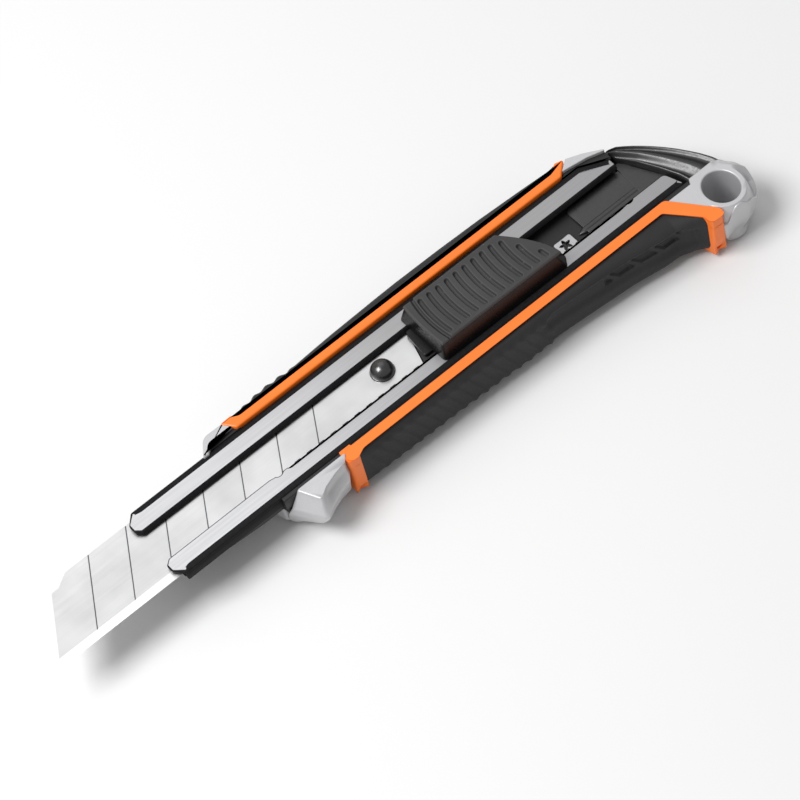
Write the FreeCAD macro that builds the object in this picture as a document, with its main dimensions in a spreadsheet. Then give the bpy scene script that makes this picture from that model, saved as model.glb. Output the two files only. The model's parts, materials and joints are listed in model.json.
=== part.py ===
import FreeCAD, Part
import os
import re
import Sketcher

# Snap-off utility knife, lying on its back pad. Millimetres.
# +X runs from the blade's tip to the tail, +Y to the blade's back (its blunt edge), +Z up,
# away from the table. The origin is on the pad's resting face, under the blade's middle line.

# ---------------------------------------------------------------- sizes

SIZES = [
    ("blade_width", 18, "standard wide snap-off blade"),
    ("blade_length", 100, "along the cutting edge"),
    ("blade_thick", 0.5, ""),
    ("blade_angle", 60, "of the tip and the score lines, from the cutting edge"),
    ("blade_tail_lean", 5.4, "how far the tail end leans over the blade's width"),
    ("blade_top", 12, "height of the blade's upper face"),
    ("blade_rear", -10, "rear end of the cutting edge in the stored pose"),
    ("segment_pitch", 10, "between score lines"),
    ("segment_count", 7, "score lines"),
    ("score_width", 0.3, ""),
    ("score_depth", 0.12, ""),
    ("bevel_width", 2, "ground edge, on both faces"),
    ("notch_depth", 2.1, "step at the top of the tip"),
    ("notch_flat", 1.8, ""),
    ("notch_run", 3.3, ""),
    ("stud_back", 6.2, "stud ahead of the cutting edge's rear end"),
    ("stud_radius", 2.75, ""),
    ("stud_height", 2.8, "dome above the blade"),
    ("stud_shoulder", 0.2, "straight part above the blade"),
    ("stud_foot", 1.5, "radius of the riveted foot"),
    ("stud_gap", 0.1, "between stud and blade"),
    ("guide_front", -79.4, ""),
    ("guide_play", 0.6, "between the blade and the channel's walls, both sides together"),
    ("guide_centre", -0.2, ""),
    ("lip_gap", 0.55, "between the blade and the lips"),
    ("guide_wall", 0.8, "sheet thickness"),
    ("guide_bend", 0.9, "outer bend radius"),
    ("wall_setback", 2, "the side walls start this far behind the lips"),
    ("lip_tip", 1.6, "cut at the lips' outer front corners"),
    ("lip_tip_inner", 1.1, "cut at the lips' inner front corners"),
    ("lip_up_reach", 5.5, "width of the upper lip"),
    ("lip_low_reach", 5.4, "width of the lower lip ahead of the scallops"),
    ("lip_up_end", 54.5, ""),
    ("lip_low_end", 61.9, ""),
    ("guide_end_gap", 0.4, "between the guide's rear end and the cap"),
    ("lip_up_cut", 6.5, "slanting cut at the rear of the upper side, along X"),
    ("lip_up_cut_depth", 3.4, ""),
    ("scallop_first", -48.6, ""),
    ("scallop_pitch", 3.28, ""),
    ("scallop_count", 31, ""),
    ("scallop_radius", 1.15, ""),
    ("scallop_depth", 0.5, ""),
    ("scallop_step", 0.25, "crests behind the lip's plain edge"),
    ("window_front", 29, "opening in the guide's floor for the cap's tongue"),
    ("window_half", 5.2, ""),
    ("carrier_front", -24, ""),
    ("carrier_rear", 21.5, ""),
    ("carrier_inset", 1.4, "carrier's sides inside the blade's"),
    ("carrier_corner", 4, "cut at its upper rear corner"),
    ("carrier_strip", 0.3, "thickness under the blade"),
    ("carrier_play", 0.1, "under the lips"),
    ("carrier_float", 0.05, "above the guide's floor"),
    ("tail_gap", 0.3, "between the blade's tail and the carrier's step"),
    ("button_front", -5.5, ""),
    ("button_rear", 30.6, ""),
    ("button_low_inset", 1.4, "button inside the channel's lower side"),
    ("button_up_inset", 2.8, "button inside the channel's upper side"),
    ("button_draft", 1.3, ""),
    ("button_rear_draft", 2.1, ""),
    ("button_height", 4.95, "above the lips"),
    ("button_float", 0.1, "above the lips"),
    ("button_corner", 2.85, "cut at the rear corner"),
    ("button_corner_rise", 3.6, ""),
    ("button_arc_x", 23.4, "where the rear arc meets the upper side"),
    ("button_arc_bulge", 1.6, "of the rear arc, beyond its chord"),
    ("pad_inset", 0.5, "slider pad inside the button's rim"),
    ("pad_sink", 0.9, "depth of the pad's seat in the button"),
    ("neck_front", -4, ""),
    ("neck_rear", 21, ""),
    ("neck_width", 5.1, ""),
    ("neck_gap", 0.5, "between the neck and the upper lip"),
    ("tooth_index", 16, "scallop that holds the lock tooth"),
    ("tooth_radius", 0.75, ""),
    ("tooth_gap", 0.1, "from the bottom of its scallop"),
    ("spring_thick", 0.5, ""),
    ("spring_offset", 2.25, "leaf's middle line from the scallops' bottoms"),
    ("spring_gap", 0.15, "above the carrier"),
    ("spring_width", 0.7, "height of the leaf"),
    ("eye_x", 17.5, "rivet that the leaf turns on"),
    ("eye_radius", 1.7, ""),
    ("rivet_radius", 0.9, ""),
    ("rivet_gap", 0.05, ""),
    ("rivet_head", 1.6, ""),
    ("frame_floor", 2.85, "under the guide"),
    ("frame_side", 1.7, "beside the guide"),
    ("rail_drop", 2.15, "rails' tops under the guide's"),
    ("frame_gap", 0.05, "round the guide"),
    ("frame_liner", 0.5, "black wall beside the bare corners"),
    ("frame_taper", 48, "where the frame's upper side turns in"),
    ("frame_taper_depth", 2.8, ""),
    ("nose_front", -77.5, ""),
    ("nose_inset", 1, "nose inside the guide's sides"),
    ("rail_front", -57, ""),
    ("back_level", 0.8, "underside of the back shell"),
    ("shell_floor", 1.5, "front shell's floor under the inner frame"),
    ("rim_rise", 0.85, "tops of the trims above the guide's"),
    ("body_drop", 0.2, "bare corners' tops under the trims'"),
    ("trim_up_reveal", 0.6, "between the guide and the upper trim"),
    ("trim_up_width", 2, ""),
    ("trim_low_reveal", 0.95, "between the guide and the lower trim"),
    ("trim_low_width", 2.15, ""),
    ("body_front", -57.5, ""),
    ("body_front_rise", 0.8, "upper front corner beyond the trim"),
    ("body_rear_up", 55.2, "end of the upper side, where the cap starts"),
    ("body_rear_rise", 0.4, ""),
    ("hook_front", -48, "front end of the upper trim"),
    ("hook_rear", 43.8, "rear end of the upper trim"),
    ("hook_lean", 3.3, "lean of its rear end"),
    ("hook_lead", 2.6, "lean of its front end"),
    ("hook_rise", 0.9, "ends of the upper trim beyond its outer edge"),
    ("leg_front", -33.9, "front corner of the lower trim"),
    ("leg_front_lean", 3.5, ""),
    ("leg_width", 2.7, ""),
    ("leg_drop", 2.1, "front end of the lower trim below its outer edge"),
    ("leg_rear", 53.6, "rear corner of the lower trim"),
    ("leg_rear_x", 63.3, ""),
    ("leg_rear_drop", 8, "rear end of the lower trim below its outer edge"),
    ("leg_rear_width", 3.1, ""),
    ("guard_start", -52, ""),
    ("guard_tip_x", -47, ""),
    ("guard_drop", 5.9, ""),
    ("guard_back_x", -42, ""),
    ("guard_back_drop", 1.8, ""),
    ("step_rise", 0.75, "upper side of the tail above the lower trim"),
    ("step_front", 62.6, ""),
    ("step_rear", 71, ""),
    ("tail_end", 75.2, ""),
    ("tail_end_drop", 6, ""),
    ("tail_depth", 13.2, ""),
    ("tail_bottom_x", 66.5, ""),
    ("hole_x", 66.1, "lanyard hole"),
    ("hole_drop", 6.7, "lanyard hole below the tail's upper side"),
    ("hole_radius", 4.4, ""),
    ("grip_mid_x", 20.9, ""),
    ("grip_mid_drop", 1.8, ""),
    ("grip_bow_x", 43.2, ""),
    ("grip_bow_drop", 4, ""),
    ("grip_up_front_rise", 2.2, ""),
    ("grip_up_mid_rise", 3.7, ""),
    ("grip_up_rear_rise", 1.7, ""),
    ("grip_low_z", 1.2, ""),
    ("grip_drop", 0.7, "grips' tops under the trims'"),
    ("cap_drop", 0.15, "under the guide's top"),
    ("cap_gap", 0.1, ""),
    ("cap_ridge_x", 55.5, "upper end of the cap's inner edge"),
    ("cap_ridge_y", 5.3, ""),
    ("cap_bow_x", 64.2, "middle of the cap's outer arc"),
    ("cap_bow_y", 2, ""),
    ("tongue_front", 39, ""),
    ("tongue_gap_low", 1, "tongue to the window's lower side"),
    ("tongue_gap_up", 0.6, "tongue to the window's upper side"),
    ("tongue_drop", 0.05, "under the guide's floor"),
    ("clip_front", 30.2, ""),
    ("clip_gap", 0.6, "clip to the window's lower side"),
    ("clip_up", -1.2, ""),
    ("clip_wall", 0.6, ""),
    ("shell_wall", 2, ""),
    ("bay_front", -44, "hollow in the back shell"),
    ("bay_rear", 48, ""),
    ("bay_low", -10.5, ""),
    ("bay_up", 9.7, ""),
    ("boss_radius", 3.2, ""),
    ("screw_radius", 1.25, ""),
    ("screw_head", 2.4, ""),
    ("screw_head_high", 1.6, ""),
    ("screw_sink", 0.6, "head below the back shell's face"),
    ("screw_gap", 0.35, "screw's tip under the guide"),
    ("screw_front", -38, ""),
    ("screw_spacing", 78, ""),
    ("screw_row", 7.6, ""),
    ("guide_rivet_first", -66, ""),
    ("guide_rivet_pitch", 44, ""),
    ("guide_rivet_radius", 1.25, ""),
    ("guide_rivet_head", 2.1, ""),
    ("backpad_front", -46, ""),
    ("backpad_rear", 50, ""),
    ("backpad_half", 10.6, ""),
    ("backpad_corner", 5, ""),
]

# What seats on, passes through or lines up with another piece takes its place from that piece.
FITS = {
    "blade_tip": "blade_rear - blade_length",
    "stud_x": "blade_rear - stud_back",
    "guide_width": "blade_width + 2 * guide_wall + guide_play",
    "guide_top": "blade_top + lip_gap + guide_wall",
    "guide_height": "lip_gap + 2 * guide_wall + blade_thick + carrier_strip + carrier_float",
    "lip_up": "guide_centre + guide_width / 2 - lip_up_reach",
    "lip_low": "guide_centre - guide_width / 2 + lip_low_reach",
    "scallop_crest": "lip_low - scallop_step",
    "scallop_bottom": "scallop_crest - scallop_depth",
    "carrier_half": "blade_width / 2 - carrier_inset",
    "carrier_top": "guide_top - guide_wall - carrier_play",
    "button_low": "guide_centre - guide_width / 2 + button_low_inset",
    "button_up": "guide_centre + guide_width / 2 - button_up_inset",
    "button_corner_y": "button_low + button_corner_rise",
    "button_top": "guide_top + button_height",
    "neck_up": "lip_up - neck_gap",
    "neck_low": "neck_up - neck_width",
    "spring_y": "scallop_bottom + spring_offset",
    "spring_low": "carrier_top + spring_gap",
    "spring_high": "spring_low + spring_width",
    "frame_bottom": "guide_top - guide_height - frame_floor",
    "frame_low": "guide_centre - guide_width / 2 - frame_side",
    "frame_up": "guide_centre + guide_width / 2 + frame_side",
    "frame_rail": "guide_top - rail_drop",
    "frame_taper_end": "frame_up - frame_taper_depth",
    "nose_half": "guide_width / 2 - nose_inset",
    "part_level": "frame_bottom - shell_floor",
    "rim_level": "guide_top + rim_rise",
    "body_level": "rim_level - body_drop",
    "trim_up_inner": "guide_centre + guide_width / 2 + trim_up_reveal",
    "trim_up_outer": "trim_up_inner + trim_up_width",
    "trim_low_inner": "guide_centre - guide_width / 2 - trim_low_reveal",
    "trim_low_outer": "trim_low_inner - trim_low_width",
    "body_front_y": "trim_up_outer + body_front_rise",
    "body_rear_y": "frame_taper_end + body_rear_rise",
    "hook_out": "trim_up_outer + hook_rise",
    "leg_out": "trim_low_outer - leg_drop",
    "leg_rear_y": "trim_low_outer - leg_rear_drop",
    "guard_tip_y": "trim_low_outer - guard_drop",
    "guard_back_y": "trim_low_outer - guard_back_drop",
    "step_y": "trim_low_inner + step_rise",
    "tail_end_y": "step_y - tail_end_drop",
    "tail_bottom": "step_y - tail_depth",
    "hole_y": "step_y - hole_drop",
    "grip_mid_y": "trim_low_outer - grip_mid_drop",
    "grip_bow_y": "trim_low_outer - grip_bow_drop",
    "grip_up_front": "trim_up_outer + grip_up_front_rise",
    "grip_up_mid": "trim_up_outer + grip_up_mid_rise",
    "grip_up_rear": "trim_up_outer + grip_up_rear_rise",
    "grip_high_z": "rim_level - grip_drop",
    "cap_top": "guide_top - cap_drop",
    "tongue_top": "guide_top - guide_height + guide_wall - tongue_drop",
    "tongue_low": "tongue_gap_low - window_half",
    "tongue_up": "window_half - tongue_gap_up",
    "clip_low": "clip_gap - window_half",
    "screw_reach": "guide_top - guide_height - screw_gap",
}

DOC = FreeCAD.newDocument("utility_knife")
SHEET = DOC.addObject("Spreadsheet::Sheet", "sizes")
for row, (alias, value, note) in enumerate(SIZES, 1):
    SHEET.set(f"A{row}", note or alias.replace("_", " "))
    SHEET.set(f"B{row}", str(value))
    SHEET.setAlias(f"B{row}", alias)
DOC.recompute()

ALIASES = {alias for alias, value, note in SIZES}


def linked(text):
    """An expression's text with each fit written out and each alias turned into a reference to its cell."""

    def written(match):
        word = match[0]
        if word in FITS:
            return f"({linked(FITS[word])})"
        return f"sizes.{word}" if word in ALIASES else word

    return re.sub(r"[a-z_]+", written, str(text))


def size(text):
    """The number that an expression over the sheet's aliases gives now."""
    value = SHEET.evalExpression(linked(text))
    return float(getattr(value, "Value", value))


def bind(thing, field, text):
    thing.setExpression(field, linked(text))


# ---------------------------------------------------------------- building blocks

PIECES = []


def new_body(name, **place):
    """A sub-part: an empty PartDesign body whose Label names its file."""
    body = DOC.addObject("PartDesign::Body", name)
    body.Label = name
    body.AllowCompound = True
    for letter, text in place.items():
        bind(body, f"Placement.Base.{letter}", text)
    PIECES.append(body)
    return body


def new_sketch(body, role, level):
    """A sketch on one of the body's own origin planes, moved along its normal to level."""
    plane = next(p for p in body.Origin.OriginFeatures if p.Role == role)
    sketch = body.newObject("Sketcher::SketchObject", f"{body.Name}_sketch")
    sketch.AttachmentSupport = [(plane, "")]
    sketch.MapMode = "FlatFace"
    bind(sketch, "AttachmentOffset.Base.z", level)
    return sketch


def pin_point(sketch, geometry, end, across, along):
    """Fixes a point of the sketch at two expressions."""
    for kind, text in (("DistanceX", across), ("DistanceY", along)):
        rule = sketch.addConstraint(Sketcher.Constraint(kind, geometry, end, size(text)))
        bind(sketch, f"Constraints[{rule}]", text)


def draw_outline(sketch, corners):
    """A closed outline. A corner is (x, y), or (x, y, bow_x, bow_y) where an arc leaves it through the bow."""
    count = len(corners)
    spots = [FreeCAD.Vector(size(c[0]), size(c[1]), 0) for c in corners]
    ends = []
    for index, corner in enumerate(corners):
        start, stop = spots[index], spots[(index + 1) % count]
        forward = True
        if len(corner) == 2:
            sketch.addGeometry(Part.LineSegment(start, stop))
        else:
            bow = FreeCAD.Vector(size(corner[2]), size(corner[3]), 0)
            # a sketch keeps its arcs counterclockwise
            forward = (bow - start).cross(stop - bow).z > 0
            sketch.addGeometry(Part.Arc(start, bow, stop) if forward else Part.Arc(stop, bow, start))
        ends.append((1, 2) if forward else (2, 1))
    for index, corner in enumerate(corners):
        after = (index + 1) % count
        sketch.addConstraint(Sketcher.Constraint("Coincident", index, ends[index][1], after, ends[after][0]))
        pin_point(sketch, index, ends[index][0], corner[0], corner[1])
    for index, corner in enumerate(corners):
        if len(corner) == 4:
            bow = FreeCAD.Vector(size(corner[2]), size(corner[3]), 0)
            spot = sketch.addGeometry(Part.Point(bow), True)
            pin_point(sketch, spot, 1, corner[2], corner[3])
            sketch.addConstraint(Sketcher.Constraint("PointOnObject", spot, 1, index))


def draw_circle(sketch, across, along, radius):
    middle = FreeCAD.Vector(size(across), size(along), 0)
    ring = sketch.addGeometry(Part.Circle(middle, FreeCAD.Vector(0, 0, 1), size(radius)))
    pin_point(sketch, ring, 3, across, along)
    rule = sketch.addConstraint(Sketcher.Constraint("Radius", ring, size(radius)))
    bind(sketch, f"Constraints[{rule}]", radius)


def extrude(body, kind, sketch, length):
    """Pads or pockets a sketch, and checks that the body gained or lost material."""
    before = body.Shape.Volume if body.Tip and body.Tip.isDerivedFrom("PartDesign::Feature") else 0
    feature = body.newObject(f"PartDesign::{kind}", f"{body.Name}_{kind.lower()}")
    feature.Profile = sketch
    bind(feature, "Length", length)
    DOC.recompute()
    change = body.Shape.Volume - before
    if change * (1 if kind == "Pad" else -1) <= 0:
        raise ValueError(f"{feature.Name} on {body.Label} changes the volume by {change:.3f}")
    return feature


def slab(body, corners, low, high):
    """Adds an upright prism between two heights."""
    sketch = new_sketch(body, "XY_Plane", low)
    draw_outline(sketch, corners)
    return extrude(body, "Pad", sketch, f"({high}) - ({low})")


def cut_slab(body, corners, low, high):
    """Takes away an upright prism between two heights."""
    sketch = new_sketch(body, "XY_Plane", high)
    draw_outline(sketch, corners)
    return extrude(body, "Pocket", sketch, f"({high}) - ({low})")


def post(body, spots, radius, low, high):
    """Adds upright round posts between two heights."""
    sketch = new_sketch(body, "XY_Plane", low)
    for across, along in spots:
        draw_circle(sketch, across, along, radius)
    return extrude(body, "Pad", sketch, f"({high}) - ({low})")


def drill(body, spots, radius, low, high):
    """Takes away upright round holes between two heights."""
    sketch = new_sketch(body, "XY_Plane", high)
    for across, along in spots:
        draw_circle(sketch, across, along, radius)
    return extrude(body, "Pocket", sketch, f"({high}) - ({low})")


def turn(body, profile, axis_x):
    """Adds a round piece: a profile of (radius, height) corners turned about an upright axis."""
    plane = next(p for p in body.Origin.OriginFeatures if p.Role == "XZ_Plane")
    sketch = body.newObject("Sketcher::SketchObject", f"{body.Name}_profile")
    sketch.AttachmentSupport = [(plane, "")]
    sketch.MapMode = "FlatFace"
    bind(sketch, "AttachmentOffset.Base.x", axis_x)
    draw_outline(sketch, profile)
    feature = body.newObject("PartDesign::Revolution", f"{body.Name}_turned")
    feature.Profile = sketch
    feature.ReferenceAxis = (sketch, ["V_Axis"])
    feature.Angle = 360
    DOC.recompute()
    return feature


def repeat(body, feature, count, pitch):
    """Repeats a feature along X, count times, pitch apart."""
    axis = next(p for p in body.Origin.OriginFeatures if p.Role == "X_Axis")
    pattern = body.newObject("PartDesign::LinearPattern", f"{body.Name}_row")
    pattern.Originals = [feature]
    pattern.Direction = (axis, [""])
    bind(pattern, "Length", f"({pitch}) * (({count}) - 1)")
    bind(pattern, "Occurrences", count)
    body.Tip = pattern
    DOC.recompute()
    return pattern


def round_edges(body, radius, chosen):
    """Rounds the edges for which chosen(middle point, edge) is true."""
    names = []
    for number, edge in enumerate(body.Tip.Shape.Edges, 1):
        middle = edge.valueAt((edge.FirstParameter + edge.LastParameter) / 2)
        if chosen(middle, edge):
            names.append(f"Edge{number}")
    if not names:
        raise ValueError(f"no edge to round on {body.Label}")
    base = body.Tip
    fillet = body.newObject("PartDesign::Fillet", f"{body.Name}_rounding")
    fillet.Base = (base, names)
    bind(fillet, "Radius", radius)
    body.Tip = fillet
    DOC.recompute()
    return fillet


def box_corners(front, rear, low, up):
    return [(front, low), (rear, low), (rear, up), (front, up)]


def along_x(edge):
    """Does this edge run along X?"""
    run = edge.lastVertex().Point - edge.firstVertex().Point
    return abs(run.x) > 0.98 * run.Length


# ---------------------------------------------------------------- blade and what carries it

EDGE = "-blade_width / 2"
SPINE = "blade_width / 2"
SLANT = "tan(blade_angle)"
SCREW_SPOTS = [
    (x, y)
    for x in ("screw_front", "screw_front + screw_spacing")
    for y in ("-screw_row", "screw_row")
]


def make_blade():
    body = new_body("blade", x="blade_tip")
    flat = f"{SPINE} - notch_depth"
    flat_x = f"(blade_width - notch_depth) / {SLANT}"
    slab(
        body,
        [
            ("0", EDGE),
            ("blade_length", EDGE),
            ("blade_length + blade_tail_lean", SPINE),
            (f"{flat_x} + notch_flat + notch_run", SPINE),
            (f"{flat_x} + notch_flat", flat),
            (flat_x, flat),
        ],
        "blade_top - blade_thick",
        "blade_top",
    )
    # the ground edge: a thin wedge off each face, right along the blade
    for face, side in (("blade_top", 1), ("blade_top - blade_thick", -1)):
        sketch = new_sketch(body, "YZ_Plane", "-1")
        beyond = f"{face} + {side}"
        draw_outline(
            sketch,
            [
                (f"{EDGE} - 1", beyond),
                (f"{EDGE} + bevel_width", beyond),
                (f"{EDGE} + bevel_width", face),
                (EDGE, f"{face} - {side} * blade_thick * 0.48"),
                (f"{EDGE} - 1", f"{face} - {side} * blade_thick * 0.48"),
            ],
        )
        pocket = body.newObject("PartDesign::Pocket", "blade_bevel")
        pocket.Profile = sketch
        pocket.Reversed = True
        bind(pocket, "Length", "blade_length + blade_tail_lean + 2")
        DOC.recompute()
    lean = f"blade_width / {SLANT}"
    score = cut_slab(
        body,
        [
            (f"segment_pitch - score_width / 2 - 1 / {SLANT}", f"{EDGE} - 1"),
            (f"segment_pitch + score_width / 2 - 1 / {SLANT}", f"{EDGE} - 1"),
            (f"segment_pitch + score_width / 2 + {lean} + 1 / {SLANT}", f"{SPINE} + 1"),
            (f"segment_pitch - score_width / 2 + {lean} + 1 / {SLANT}", f"{SPINE} + 1"),
        ],
        "blade_top - score_depth",
        "blade_top",
    )
    repeat(body, score, "segment_count", "segment_pitch")
    drill(
        body,
        [("stud_x - blade_tip", "0")],
        "stud_radius + stud_gap",
        "blade_top - blade_thick - 0.1",
        "blade_top",
    )


def make_blade_carrier():
    """Steel strip: thin under the blade, where it holds the stud, and thick behind the blade's tail."""
    body = new_body("blade_carrier")
    bottom = "guide_top - guide_height + guide_wall + carrier_float"
    under_blade = "blade_top - blade_thick"
    rear = [
        ("carrier_rear", "-carrier_half"),
        ("carrier_rear", "carrier_half - carrier_corner * 0.7"),
        ("carrier_rear - carrier_corner", "carrier_half"),
    ]
    front = [("carrier_front", "carrier_half"), ("carrier_front", "-carrier_half")]
    slab(body, rear + front, bottom, under_blade)
    tail = "blade_tip + blade_length + tail_gap"
    lean_low = "blade_tail_lean * (blade_width / 2 - carrier_half) / blade_width"
    lean_up = "blade_tail_lean * (blade_width / 2 + carrier_half) / blade_width"
    slab(
        body,
        rear + [(f"{tail} + {lean_up}", "carrier_half"), (f"{tail} + {lean_low}", "-carrier_half")],
        under_blade,
        "carrier_top",
    )
    drill(body, [("stud_x", "0")], "stud_foot", bottom, under_blade)
    drill(body, [("eye_x", "spring_y")], "rivet_radius", bottom, "carrier_top")


def make_blade_stud():
    """Pin with a riveted foot below and a spherical dome above."""
    body = new_body("blade_stud")
    foot = "guide_top - guide_height + guide_wall + carrier_float"
    seat = "blade_top - blade_thick"
    shoulder = "(blade_top + stud_shoulder)"
    crown = "(blade_top + stud_height)"
    rise = "(stud_height - stud_shoulder)"
    ball = f"((stud_radius ^ 2 + {rise} ^ 2) / (2 * {rise}))"
    turn(
        body,
        [
            ("0", foot),
            ("stud_foot", foot),
            ("stud_foot", seat),
            ("stud_radius", seat),
            (
                "stud_radius",
                shoulder,
                "stud_radius / 2",
                f"{crown} - {ball} + sqrt({ball} ^ 2 - (stud_radius / 2) ^ 2)",
            ),
            ("0", crown),
        ],
        "stud_x",
    )


def button_outline(shrink, rear_shrink):
    """The slider button's plan: straight sides, a cut lower rear corner and an arc from there to the upper side."""
    rear = f"button_rear - {rear_shrink}"
    low = f"button_low + {shrink}"
    up = f"button_up - {shrink}"
    arc_x = f"button_arc_x - {rear_shrink} * 0.85"
    return [
        (f"button_front + {shrink}", up),
        (f"button_front + {shrink}", low),
        (f"button_rear - button_corner + {shrink} * 0.3 - {rear_shrink} * 0.35", low),
        (
            rear,
            f"button_corner_y - {shrink} * 0.3",
            f"({rear} + {arc_x}) / 2 + button_arc_bulge * 0.86",
            f"(button_corner_y - {shrink} * 0.3 + {up}) / 2 + button_arc_bulge * 0.5",
        ),
        (arc_x, up),
    ]


def make_slider_button():
    body = new_body("slider_button")
    sketches = []
    for level, shrink, rear_shrink in (
        ("guide_top + button_float", "0", "0"),
        ("button_top", "button_draft", "button_rear_draft"),
    ):
        sketch = new_sketch(body, "XY_Plane", level)
        draw_outline(sketch, button_outline(shrink, rear_shrink))
        sketches.append(sketch)
    DOC.recompute()
    loft = body.newObject("PartDesign::AdditiveLoft", "slider_button_loft")
    loft.Profile = sketches[0]
    loft.Sections = [sketches[1]]
    loft.Ruled = True
    DOC.recompute()
    cut_slab(
        body,
        button_outline("(button_draft + pad_inset)", "(button_rear_draft + pad_inset)"),
        "button_top - pad_sink",
        "button_top + 1",
    )
    slab(
        body,
        box_corners("neck_front", "neck_rear", "neck_low", "neck_up"),
        "carrier_top",
        "guide_top + button_float",
    )
    drill(
        body,
        [("eye_x", "spring_y")],
        "rivet_head",
        "guide_top",
        "guide_top + button_float + 0.8",
    )


def make_slider_pad():
    body = new_body("slider_pad")
    slab(
        body,
        button_outline("(button_draft + pad_inset)", "(button_rear_draft + pad_inset)"),
        "button_top - pad_sink",
        "button_top",
    )


def make_lock_spring():
    """Leaf with a tooth that rests in a scallop of the guide's lower lip, and an eye on its rivet."""
    body = new_body("lock_spring")
    tooth_x = "scallop_first + tooth_index * scallop_pitch"
    tip = "scallop_bottom + tooth_gap + tooth_radius"
    slab(
        body,
        box_corners(
            f"{tooth_x} - tooth_radius",
            "eye_x",
            "spring_y - spring_thick / 2",
            "spring_y + spring_thick / 2",
        ),
        "spring_low",
        "spring_high",
    )
    slab(
        body,
        [
            (
                f"{tooth_x} + tooth_radius",
                "spring_y",
            ),
            (f"{tooth_x} - tooth_radius", "spring_y"),
            (
                f"{tooth_x} - tooth_radius",
                tip,
                tooth_x,
                f"{tip} - tooth_radius",
            ),
            (f"{tooth_x} + tooth_radius", tip),
        ],
        "spring_low",
        "spring_high",
    )
    post(body, [("eye_x", "spring_y")], "eye_radius", "spring_low", "spring_high")
    drill(body, [("eye_x", "spring_y")], "rivet_radius + rivet_gap", "spring_low - 0.1", "spring_high")


def make_spring_rivet():
    body = new_body("spring_rivet")
    bottom = "guide_top - guide_height + guide_wall + carrier_float"
    post(body, [("eye_x", "spring_y")], "rivet_radius", bottom, "guide_top + 0.1")
    post(body, [("eye_x", "spring_y")], "rivet_head", "guide_top + 0.1", "guide_top + button_float + 0.8")


# ---------------------------------------------------------------- guide and its frame

GUIDE_LOW = "guide_centre - guide_width / 2"
GUIDE_UP = "guide_centre + guide_width / 2"
GUIDE_BOTTOM = "guide_top - guide_height"


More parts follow.
